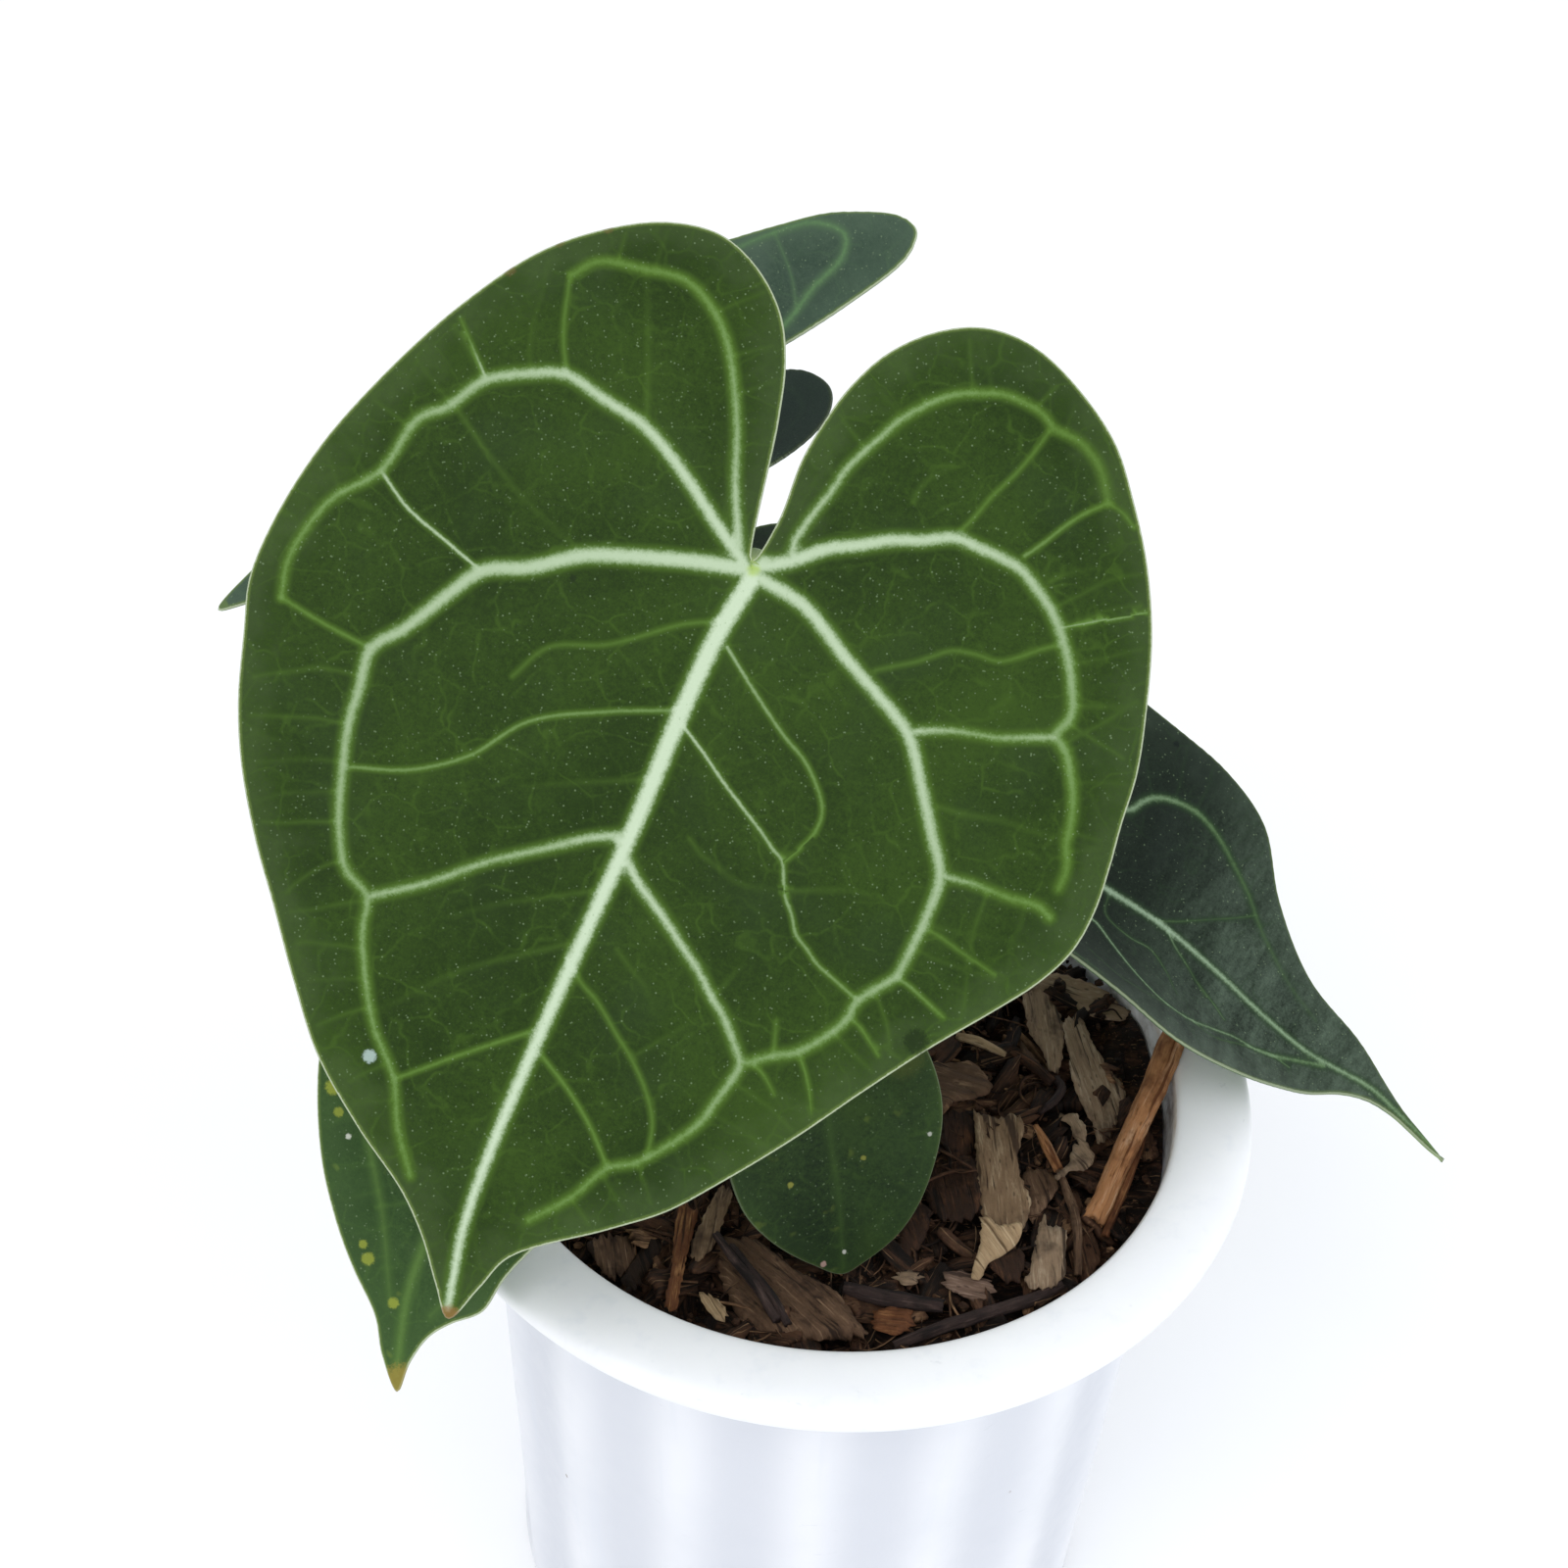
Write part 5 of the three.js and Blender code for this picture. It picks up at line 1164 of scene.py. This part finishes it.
PLANKS = {
    "bark_scrap_tan": (
        "bark_scrap_tan", "tan", "bark_tan", -84, 1.3, 1.3, -3, 5, 0.9,
        [[25.9, -1.9], [29.2, -3.5], [32, -3.2], [33.9, -4], [34.3, -7.4], [33.3, -11.8], [33.7, -16.1],
         [34.8, -19.6], [35.5, -22.6], [34.5, -26.5], [33.5, -28.6], [32.4, -31.7], [29.8, -34.2], [27.6, -36.1],
         [26.2, -39.6], [25.2, -40], [25.5, -37.4], [26.7, -35], [26.9, -29.8], [27.4, -26.2], [26.7, -22.7],
         [26.2, -16.7], [25.9, -10.6], [25.7, -6.3]]),
    "scrap_curl": (
        "", "straw", "bark_tan", -50, 0.9, 2.7, -8, 0, 1.2,
        [[27.0, -27.5], [29.5, -29.2], [33.6, -28.4], [33.2, -31.5], [30.5, -34.4], [28, -36.5], [26.4, -40.4],
         [25.1, -40.8], [25.4, -37.4], [26.5, -33]]),
    "bark_strip_grey": (
        "bark_strip_grey", "grey", "bark_grey", -76, 1.2, 1.9, -4, -8, 0.7,
        [[42.6, 22.3], [45.5, 23.6], [47.3, 18.7], [49.6, 13.6], [53.4, 6.8], [53, 3.6], [51, -1.1],
         [48.2, -6.3], [47.4, -2.6], [45.4, 2.3], [43.6, 7.3], [43.1, 13.1]]),
    "bark_strip_mid": (
        "bark_strip_mid", "grey", "bark_grey", -84, 1.2, 1.7, -3, 9, 0.6,
        [[35.2, 30.2], [38.8, 30.1], [40.2, 26.9], [41.6, 23.6], [42.2, 18.3], [41.9, 13.6], [40.8, 9.6],
         [39.6, 10.2], [38.5, 14.7], [36.2, 19.1], [35.5, 23.7]]),
    "bark_strip_back": (
        "bark_strip_back", "grey", "bark_grey", -12, 1.2, 1.9, 0, 9, 0.8,
        [[34.4, 29.8], [40.4, 33.1], [45.3, 32.5], [49.7, 30.8], [53, 27.8], [54.6, 25.7], [53.8, 24.1],
         [50.4, 24], [46.6, 25.4], [42.2, 28.4], [38.8, 29.0]]),
    "bark_strip_front": (
        "bark_strip_front", "grey", "bark_dark", -88, 1.1, 1.5, 3, 5, 0.5,
        [[37.9, -23.6], [38.6, -26.5], [41.3, -27.4], [41.4, -32.1], [40.6, -38.7], [37.8, -40.4],
         [34.4, -40.6], [35.2, -36.6], [36, -31.4]]),
    "husk_chunk": (
        "husk_chunk", "brown", "bark_dark", -48, 3.4, 1.0, 4, 5, -0.6,
        [[-18.9, -33.5], [-13.9, -32.6], [-11.5, -33.4], [-7.9, -36.1], [-4.7, -39.8], [0, -42.3], [3.2, -46],
         [5.2, -49.6], [7.4, -53.5], [-6.4, -53.5], [-13, -50.1], [-16.4, -43.6]]),
    "bark_strip_red": (
        "bark_strip_red", "rust", "bark_red", -94, 1.1, 1.5, 0, -6, 0.4,
        [[-25.4, -28], [-22.8, -28.2], [-22.8, -33.4], [-23.8, -39], [-24.2, -45], [-24.8, -50.2], [-26.3, -50.4],
         [-26.2, -44], [-26.0, -36]]),
    "scrap_under": (
        "", "brown", "bark_dark", -78, 1.0, 0.7, 0, 8, 0.5,
        [[34.9, -12.9], [38.4, -12.7], [40.5, -15.5], [40.2, -18], [38.3, -21.2], [36.3, -24.9], [35.0, -23.2],
         [34.6, -19]]),
    "strip_shade": (
        "", "brown", "bark_dark", -70, 1.0, 0.6, 0, 12, 0.3,
        [[34.2, 18.9], [36.1, 15.8], [38.4, 10.7], [37.5, 9.3], [35.1, 13.7]]),
    "scrap_flag": (
        "", "grey", "bark_grey", -60, 0.7, 2.4, 0, -10, 0.5,
        [[44.7, -6.6], [46.5, -8.9], [46.8, -12], [44.9, -14.6], [42.6, -15.4], [40.2, -18.6], [39.5, -18],
         [42.1, -13.6], [43.2, -9.2]]),
    "strip_arch": (
        "", "grey", "bark_grey", -75, 0.8, 1.8, 0, 14, 0.5,
        [[40.8, -1.3], [42, 0.4], [43.9, -0.4], [45.6, -5.3], [45.1, -7.5], [43.3, -5.5], [42.9, -2.4]]),
    "bark_low_brown": (
        "", "red", "bark_red", -80, 1.5, 0.3, 5, 8, 0.4,
        [[18, -13.1], [25.5, -11.5], [25.6, -25.7], [21.2, -26.7], [18, -23.4]]),
    "bark_up_brown": (
        "", "red", "bark_red", -86, 1.2, 0.5, 0, -6, 0.4,
        [[20.2, -1.1], [25.3, -0.6], [25.2, -10.2], [20.7, -11.2]]),
    "bark_chunk_brown": (
        "", "brown", "bark_dark", -25, 1.8, 1.2, 6, 0, 0.6,
        [[14.4, 11], [19.2, 11.1], [21.2, 10.6], [25.5, 10.3], [28.8, 4.1], [26.4, 2], [22.1, 0.7],
         [19.8, -1.7], [17.9, 1.3], [16.4, 6.3]]),
    "chip_pink": (
        "", "rose", "bark_tan", -10, 1.1, 1.4, 0, 6, 0.4,
        [[20.4, -39.2], [25.3, -38.6], [28.9, -40.6], [26.6, -44.1], [23.5, -43], [20.8, -41.8]]),
    "chip_under": (
        "", "red", "bark_red", -70, 1.2, 0.9, 0, 0, 0.4,
        [[28, -35.5], [31.7, -32.9], [33.9, -32.7], [34.1, -36.7], [32.5, -39.1], [29.8, -38.2]]),
    "chip_orange": (
        "", "rust", "bark_tan", -8, 1.3, 1.3, 0, -6, 0.4,
        [[8.6, -47.3], [14.3, -46.6], [14.7, -51], [11.9, -52.6], [9.0, -51.4]]),
    "strip_fibrous": (
        "", "tan", "bark_tan", -96, 0.8, 1.6, 0, 10, 0.6,
        [[-18.3, -22.3], [-16.6, -24.7], [-17.8, -30.9], [-19.1, -36], [-22, -39.2], [-23.0, -36.3],
         [-21.7, -31.2], [-20.4, -27]]),
    "bark_left": (
        "", "brown", "bark_dark", -78, 1.5, 1.2, 0, -5, 0.5,
        [[-40.8, -35.7], [-34, -33.7], [-32.8, -38.1], [-35.5, -43.2], [-38, -41.4]]),
    "bark_left_dark": (
        "", "dark", "bark_dark", -70, 1.3, 0.9, 0, 4, 0.3,
        [[-30.1, -33.4], [-28.2, -36], [-30.2, -41], [-32.4, -45.4], [-34.2, -44], [-32.6, -38]]),
    "crumb_grey": (
        "", "grey", "bark_grey", 0, 1.6, 1.2, 0, 0, 0.2,
        [[12.2, -39.4], [14.9, -38.2], [16.5, -39.1], [15.3, -41.1], [13, -41.3]]),
    "bark_right": (
        "", "red", "bark_red", -72, 1.5, 0.9, 0, 9, 0.4,
        [[15.2, -23.2], [17.9, -24.5], [17.2, -30.1], [14.9, -34.3], [12.5, -33.5]]),
    "curl_left": (
        "", "straw", "bark_tan", -60, 0.7, 1.4, 0, 8, 0.6,
        [[-20.9, -44.9], [-18.5, -45.7], [-16, -50], [-17.6, -50.6], [-19.8, -48]]),
}

# A round bit is (node it stands for, or "", look, slot, radii from end to end, flatness, middle line with lifts).
RODS = {
    "bark_twig": ("bark_twig", "orange", "twig", [2.4, 2.35, 2.25, 2.1, 2.0], 0.9,
                  [[62, 13.9, 12.8], [58.1, 3.7, 8.3], [54.7, -4.6, 5.6], [50.8, -13.8, 2.8], [46.8, -24, 1.7]]),
    # The thin dark strip along the twig's right side is painted shade: it stands for the twig's shaded side.
    "twig_shade_strip": ("", "rust", "twig", [0.9, 1.1, 1.0, 0.7], 0.9,
                    [[58.2, 5.5, 4.2], [56.4, -1.8, 3.4], [52.7, -14.6, 1.3], [48.6, -26.6, 1.0]]),
    "twig_thin": ("twig_thin", "brown", "twig", [0.55, 0.8, 0.85, 0.7], 0.9,
                  [[40.5, -13.7, 1.9], [42, -18.4, 2.1], [43.2, -23.7, 1.8], [43.6, -29, 1.4], [43.6, -35.6, 0.9]]),
    "twig_orange": ("", "orange", "twig", [0.5, 1.0, 0.9], 0.8,
                    [[36.7, -4.7, 2.3], [38.5, -9, 2.3], [40.6, -13.9, 2.0]]),
    "twig_pale": ("", "straw", "twig", [0.8, 1.0, 0.6], 0.9, [[22.6, 16, 1.6], [26.5, 15, 1.9], [31.4, 12.5, 1.7]]),
    "root_red": ("", "red", "root", [0.8, 1.0, 0.9], 1.0, [[31.4, 14, 1.9], [36, 10.5, 1.9], [39.8, 6.6, 1.5]]),
    "root_loop": ("", "plum", "root", [0.7, 0.85, 0.8, 0.7], 1.0,
                  [[40.8, 8.6, 0.9], [41.6, 5.4, 1.4], [40.2, 2.2, 1.2], [37.6, 0.6, 0.3]]),
    "surface_root_middle": ("surface_root_middle", "plum", "root", [1.2, 1.45, 1.5, 1.25], 0.95,
                            [[3.8, -43, 0.9], [8, -44.1, 1.3], [13.3, -44.6, 1.4], [20, -45.2, 1.0]]),
    "surface_root_front": ("surface_root_front", "plum", "root", [0.9, 1.15, 1.2, 0.8], 0.95,
                           [[12.4, -53.4, 0.8], [20, -50.2, 1.2], [28, -46.2, 1.1], [36.5, -41.6, 1.0],
                            [40.4, -38.8, 0.6]]),
    "root_stick_a": ("", "plum", "root", [0.7, 0.85, 0.8], 1.0,
                     [[-18.8, -34.5, 3.0], [-15, -40.6, 3.3], [-10.8, -47, 3.1], [-7.7, -52, 2.4]]),
    "root_stick_b": ("", "plum", "root", [0.7, 0.8, 0.7], 1.0,
                     [[-16, -36.7, 3.1], [-11.8, -43.3, 3.4], [-8.5, -48.2, 3.1], [-5.8, -52.4, 2.2]]),
}


def plank(heading, thick, lift, pitch, roll, curl, outline, draws):
    """A torn flat piece with its fibres along heading. Returns points, faces and grain."""
    loop, _ = even(spline(outline, 12 * len(outline), True), 0.55, True)
    a = math.radians(heading)
    along, across = np.array([math.cos(a), math.sin(a)]), np.array([-math.sin(a), math.cos(a)])
    middle = (loop.max(0) + loop.min(0)) / 2
    u, v = (loop - middle) @ along, (loop - middle) @ across
    long, wide = np.abs(u).max(), np.abs(v).max()
    shift = draws.uniform(0, 80, 3)
    # Single fibres stand out at the torn ends, and the long sides are chipped.
    torn = np.array([perlin(k * 1.7, shift[0], 0) + perlin(k * 4.3, shift[1], 7) for k in v])
    chipped = np.array([perlin(k * 0.9, shift[2], 3) for k in u])
    u = u + 1.3 * torn * (np.abs(u) / long) ** 2
    v = v + 0.45 * chipped
    xy, tris = fill(np.stack([u, v], 1), 0.7)
    d, _ = nearest(xy, np.stack([u, v], 1), True)
    rounded = np.sqrt(np.clip(1 - (1 - np.minimum(d / (0.5 * thick), 1)) ** 2, 0, 1)) * 0.8 + 0.2
    fibre = np.array([
        perlin(x * 0.1 + shift[0], y * 1.5, shift[1])
        + 0.6 * perlin(x * 0.22, y * 3.6 + shift[1], shift[0])
        + 0.5 * perlin(x * 0.5, y * 0.6, shift[2]) for x, y in xy
    ])
    bend = curl * ((xy[:, 1] / wide) ** 2 - 0.3) + 0.5 * curl * np.sin(xy[:, 0] / long * 2.4 + shift[0])
    slope = math.tan(math.radians(pitch)) * xy[:, 0] + math.tan(math.radians(roll)) * xy[:, 1]
    height = float(mix_height(*middle)) + lift + bend + slope
    top = height + thick * (0.5 * rounded + 0.2 * fibre)
    low = height - thick * (0.5 * rounded + 0.12 * fibre)
    flat = middle + xy[:, :1] * along + xy[:, 1:] * across
    count = len(xy)
    faces = tris.tolist() + (tris[:, ::-1] + count).tolist()
    faces += [[i, count + i, count + j, j] for i, j in border(tris).tolist()]
    grain = np.column_stack([xy, np.zeros(count)]) + shift
    points = np.vstack([np.column_stack([flat, top]), np.column_stack([flat, low])])
    points[:, 2] = np.maximum(points[:, 2], 116)
    return points, faces, np.vstack([grain, grain])


def rod(radii, flat, route, draws, sides=18):
    """A twig or root with ridges along it and broken ends."""
    line = np.array([[x, y, float(mix_height(x, y)) + lift] for x, y, lift in route])
    line, share = even(spline(line, 200), 0.6)
    r = np.interp(share, np.linspace(0, 1, len(radii)), radii)
    wander = [0.12 * r.mean() * perlin(k * 0.15, i * 9.1, float(draws.uniform(0, 0.01))) for i in range(3)
              for k in range(len(line))]
    line = line + np.array(wander).reshape(3, -1).T
    points, faces, grain = tube(line, r, sides, flat)
    shift = draws.uniform(0, 80, 3)
    n = len(line)
    middle = np.vstack([np.repeat(line, sides, axis=0), line[:1], line[-1:]])
    round_at = np.append(np.tile(np.arange(sides), n), [0, 0]) * 2 * math.pi / sides
    length = grain[:, 0]
    swell = np.array([
        0.10 * perlin(math.cos(t) * 2.6 + shift[0], math.sin(t) * 2.6, x * 0.07)
        + 0.07 * perlin(math.cos(t) * 6 + shift[1], math.sin(t) * 6, x * 0.2)
        + 0.05 * perlin(shift[2], t, x * 0.6) for t, x in zip(round_at, length)
    ])
    points = middle + (points - middle) * (1 + swell[:, None])
    ends = np.array([perlin(math.cos(t) * 1.8, math.sin(t) * 1.8, shift[0]) for t in round_at])
    tip = np.zeros(len(points))
    tip[:sides] = -1
    tip[(n - 1) * sides : n * sides] = 1
    ahead = unit(line[-1] - line[-2])
    return points + (tip * (0.5 + ends) * 0.5 * r.mean())[:, None] * ahead, faces, grain + shift


def make_bits(looks):
    draws = np.random.default_rng(31)
    made = []
    for name, (node, look, slot, *rest) in (PLANKS | RODS).items():
        skin = Skin()
        shape = plank(*rest, draws) if name in PLANKS else rod(*rest, draws)
        skin.add(*shape, draws.uniform(0.45, 0.6))
        made.append((skin.make(name + "_fine", looks[look]), node, slot))
    return made


# Crown: the short stem, dry sheaths round the stalks' feet, and the roots that leave it.

CROWN_R, CROWN_TOP, CROWN_FOOT = 9.2, 129.5, 110
SHEATHS, CROWN_ROOTS = 9, 8


def make_crown(material):
    draws = np.random.default_rng(17)
    skin = Skin()
    heights = np.linspace(CROWN_FOOT, CROWN_TOP, 22)
    shape = []
    around = 56
    for z in heights:
        up = (z - CROWN_FOOT) / (CROWN_TOP - CROWN_FOOT)
        for a in 2 * np.pi * np.arange(around) / around:
            ring = 1 - 0.55 * smooth(up, 0.72, 1.06) + 0.05 * math.sin(z * 1.9)
            bump = 0.16 * perlin(math.cos(a) * 2.4, math.sin(a) * 2.4, z * 0.18)
            bump += 0.07 * perlin(math.cos(a) * 7, math.sin(a) * 7, z * 0.5)
            r = CROWN_R * (ring + bump)
            shape.append([r * math.cos(a), r * math.sin(a), z])
    shape += [[0, 0, CROWN_FOOT], [0, 0, CROWN_TOP + 0.4]]
    faces = loft(len(heights), around)
    last = (len(heights) - 1) * around
    for i in range(around):
        j = (i + 1) % around
        faces += [[j, i, len(shape) - 2], [last + i, last + j, len(shape) - 1]]
    shape = np.array(shape)
    skin.add(shape, faces, shape[:, [2, 0, 1]], 0.35)
    # Sheaths: thin curved blades that stand round the stalks, torn at the top.
    for k in range(SHEATHS):
        turn = 2 * math.pi * (k + draws.uniform(-0.2, 0.2)) / SHEATHS
        foot_r = draws.uniform(6.5, 8.6)
        height, half_width = draws.uniform(10, 19), draws.uniform(0.35, 0.6)
        lean = draws.uniform(0.02, 0.3)
        rows, cols = 16, 9
        outer, inner, marks = [], [], []
        for i in range(rows):
            up = i / (rows - 1)
            spread = half_width * (1 - up**1.7) + 0.02
            for j in range(cols):
                side = 2 * j / (cols - 1) - 1
                a = turn + spread * side
                r = foot_r + lean * height * up**2 + 0.5 * side * side * (1 - up)
                r += 0.25 * perlin(side * 4 + k * 7, up * 3, 2.0)
                z = CROWN_TOP - 7 + height * up - 0.8 * abs(side) * up
                for skin_side, shift in ((outer, 0.22), (inner, -0.22)):
                    skin_side.append([(r + shift) * math.cos(a), (r + shift) * math.sin(a), z])
                marks.append([up * height + 11 * k, r * spread * side, 0])
        skin.add(np.array(outer + inner), sheet(rows, cols, True), np.array(marks + marks), draws.uniform(0.5, 0.8))
    # Short thick roots go down into the mix.
    for k in range(CROWN_ROOTS):
        a = 2 * math.pi * (k + draws.uniform(-0.3, 0.3)) / CROWN_ROOTS
        reach = draws.uniform(13, 19)
        route = []
        for t in np.linspace(0, 1, 6):
            r = 7 + (reach - 7) * t
            turn = a + 0.5 * draws.uniform(-1, 1) * t * t
            z = 124.5 + 2.2 * math.sin(math.pi * min(1, t * 1.2)) - 7 * t**2
            route.append([r * math.cos(turn), r * math.sin(turn), z])
        line, _ = even(spline(route, 60), 0.8)
        skin.add(*tube(line, np.linspace(1.3, 0.8, len(line)), 12), 0.2)
    crown = skin.make("stem_crown_fine", material)
    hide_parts("stem_crown")
    return crown


# Stage

FLOOR_HALF = 4000
CAMERA_PITCH, CAMERA_ROLL = 42, 3.53
CAMERA_AT = (-0.012, -0.382, 0.542)


def make_stage():
    corners = [[x * FLOOR_HALF, y * FLOOR_HALF, -0.05] for x, y in ((-1, -1), (1, -1), (1, 1), (-1, 1))]
    floor = make_mesh("floor", corners, [[0, 1, 2, 3]], floor_material())
    world = bpy.data.worlds.new("studio")
    world.use_nodes = True
    background = world.node_tree.nodes["Background"]
    background.inputs["Color"].default_value = (0.93, 0.96, 1.0, 1)
    background.inputs["Strength"].default_value = 0.88
    bpy.context.scene.world = world
    bpy.context.scene.view_settings.view_transform = "Standard"
    for name, place, size, energy, colour in (
        ("key", (-0.5, -0.8, 1.4), 1.0, 8.0, (1.0, 0.99, 0.97)),
        ("fill", (0.9, -0.6, 0.8), 1.0, 3.0, (0.95, 0.98, 1.0)),
        ("back", (0.1, 1.0, 1.3), 1.0, 2.0, (1.0, 1.0, 1.0)),
    ):
        light = bpy.data.lights.new(name, "AREA")
        light.size = size
        light.energy = energy
        light.color = colour
        lamp = bpy.data.objects.new(name, light)
        lamp.location = place
        lamp.rotation_euler = (Vector((0, 0, 0.16)) - Vector(place)).to_track_quat("-Z", "Y").to_euler()
        bpy.context.scene.collection.objects.link(lamp)


def floor_material():
    s = Shade("floor_paper", Specular_IOR_Level=0.2)
    place = s.place()
    s.colour(s.blend(s.noise(place, 3, 3), (249, 249, 250), (253, 253, 253)))
    s.rough(0.8)
    return s.material


def make_camera():
    pitch, roll = math.radians(CAMERA_PITCH), math.radians(CAMERA_ROLL)
    ahead = Vector((0, math.cos(pitch), -math.sin(pitch)))
    right = Vector((1, 0, 0))
    up = right.cross(ahead)
    right, up = right * math.cos(roll) + up * math.sin(roll), up * math.cos(roll) - right * math.sin(roll)
    data = bpy.data.cameras.new("camera")
    data.lens = 72
    data.sensor_width = 36
    data.clip_start = 0.01
    camera = bpy.data.objects.new("camera", data)
    turn = Matrix((right, up, -ahead)).transposed().to_4x4()
    camera.matrix_world = Matrix.Translation(Vector(CAMERA_AT)) @ turn
    bpy.context.scene.collection.objects.link(camera)
    bpy.context.scene.camera = camera


# Assembly

make_camera()
make_stage()

pot = make_pot(pot_material())
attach(pot, "root")

# Tones of each blade: dark, light, glow beside the veins, lime, a side tone, silver of the veins, underside.
GREENS = {
    "main": leaf_material(
        "leaf_main",
        [(33, 51, 16), (50, 73, 23), (73, 103, 34), (100, 134, 62), (44, 62, 32), (190, 207, 178), (96, 122, 74)],
        [((50.5, -58), 2.4, (28, 42, 18), 0.8), ((-26.6, -91.7), 1.3, (176, 196, 190), 0.7),
         ((-24.9, -11.8), 0.7, (30, 44, 20), 0.8), ((-52.5, 29.2), 1.3, (104, 84, 52), 0.5),
         ((-47.3, 36.5), 1.2, (104, 86, 54), 0.45), ((-41.1, 41.4), 1.1, (104, 84, 52), 0.45),
         ((-0.4, -125), 2.4, (132, 98, 56), 0.8)]),
    "right": leaf_material(
        "leaf_right",
        [(19, 28, 21), (33, 44, 33), (42, 62, 38), (92, 122, 76), (33, 42, 37), (176, 198, 172), (84, 108, 76)],
        [((39.7, -39.2), 0.8, (18, 26, 24), 0.8)], sheen_haze=0.6, rim=0.45),
    # The back blade's tones are its green greyed and blued by a painted sheen of light glancing off it, and its large
    # dark mark over the lobe by the stalk is the main blade's painted shadow.
    "back": leaf_material(
        "leaf_back",
        [(50, 68, 56), (70, 88, 72), (78, 104, 74), (100, 138, 88), (76, 92, 84), (150, 180, 146), (84, 108, 76)],
        [((14, 4), 19, (30, 40, 36), 0.85)]),
    "low_left": leaf_material(
        "leaf_low_left",
        [(46, 70, 36), (64, 90, 48), (76, 106, 50), (100, 132, 66), (68, 86, 58), (124, 152, 98), (90, 118, 74)],
        [((-25.5, -39.7), 1.5, (150, 160, 62), 0.8), ((-23.4, -43.2), 1.0, (150, 160, 62), 0.7),
         ((-11.5, -64.4), 1.3, (150, 160, 62), 0.7), ((-13, -62.4), 0.9, (150, 160, 62), 0.7),
         ((-5.5, -69.9), 1.1, (150, 160, 62), 0.7), ((3.5, -65.3), 1.2, (150, 160, 62), 0.7),
         ((-0.4, -82), 4.0, (150, 130, 60), 0.7), ((-20.7, -46.5), 0.6, (210, 214, 200), 0.8)], blotch=0.35),
    "small": leaf_material(
        "leaf_small",
        [(24, 36, 24), (50, 70, 36), (62, 86, 38), (76, 104, 50), (64, 86, 34), (84, 108, 62), (84, 110, 70)],
        [((15.5, -16.8), 0.5, (196, 196, 186), 0.7), ((-4.3, -37.6), 0.7, (184, 150, 142), 0.7),
         ((-0.4, -36.3), 0.5, (206, 206, 196), 0.7), ((-9.2, -21.1), 0.7, (150, 150, 70), 0.7),
         ((4.1, -19.4), 0.6, (150, 150, 70), 0.6), ((12, -2), 5.0, (78, 88, 40), 0.5)],
        blotch=0.2, rim=0.15),
}
stalk_look = stalk_material()
for leaf_name, leaf in LEAVES.items():
    blade = make_blade(leaf_name, leaf, GREENS[leaf_name])
    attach(blade, "root")
    stalk = make_stalk(leaf_name, leaf, stalk_look)
    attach(stalk, "root")

# Tones of each kind of bark or root: dark, middle, light.
LOOKS = {
    "mix": ((22, 14, 10), (84, 58, 42), (178, 140, 104)),
    "tan": ((56, 40, 30), (138, 112, 86), (216, 192, 158)),
    "straw": ((92, 70, 48), (178, 150, 116), (226, 204, 168)),
    "grey": ((52, 40, 32), (150, 126, 102), (206, 186, 160)),
    "brown": ((34, 22, 16), (100, 76, 58), (170, 138, 110)),
    "red": ((16, 10, 7), (54, 36, 26), (118, 80, 56)),
    "rose": ((50, 36, 30), (118, 94, 80), (182, 156, 138)),
    "orange": ((88, 48, 24), (176, 124, 82), (226, 190, 156)),
    "rust": ((44, 24, 15), (112, 70, 44), (196, 146, 96)),
    "plum": ((18, 12, 12), (52, 38, 35), (104, 84, 78)),
    "dark": ((16, 11, 8), (46, 32, 24), (88, 66, 50)),
    "sheath": ((60, 40, 26), (118, 86, 58), (170, 134, 94)),
}
looks = {
    key: bark_material("bark_" + key, *tones, gloss=0.3 if key == "plum" else 0.2)
    for key, tones in LOOKS.items()
}
mix_look = looks["mix"]
for piece in (make_mix_bed(mix_look), make_chips(mix_look), make_fibres(mix_look), make_crumbs(mix_look)):
    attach(piece, "root")
for piece, node, slot in make_bits(looks):
    if node:
        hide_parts(node)
    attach(piece, "root")
crown = make_crown(looks["sheath"])
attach(crown, "root")
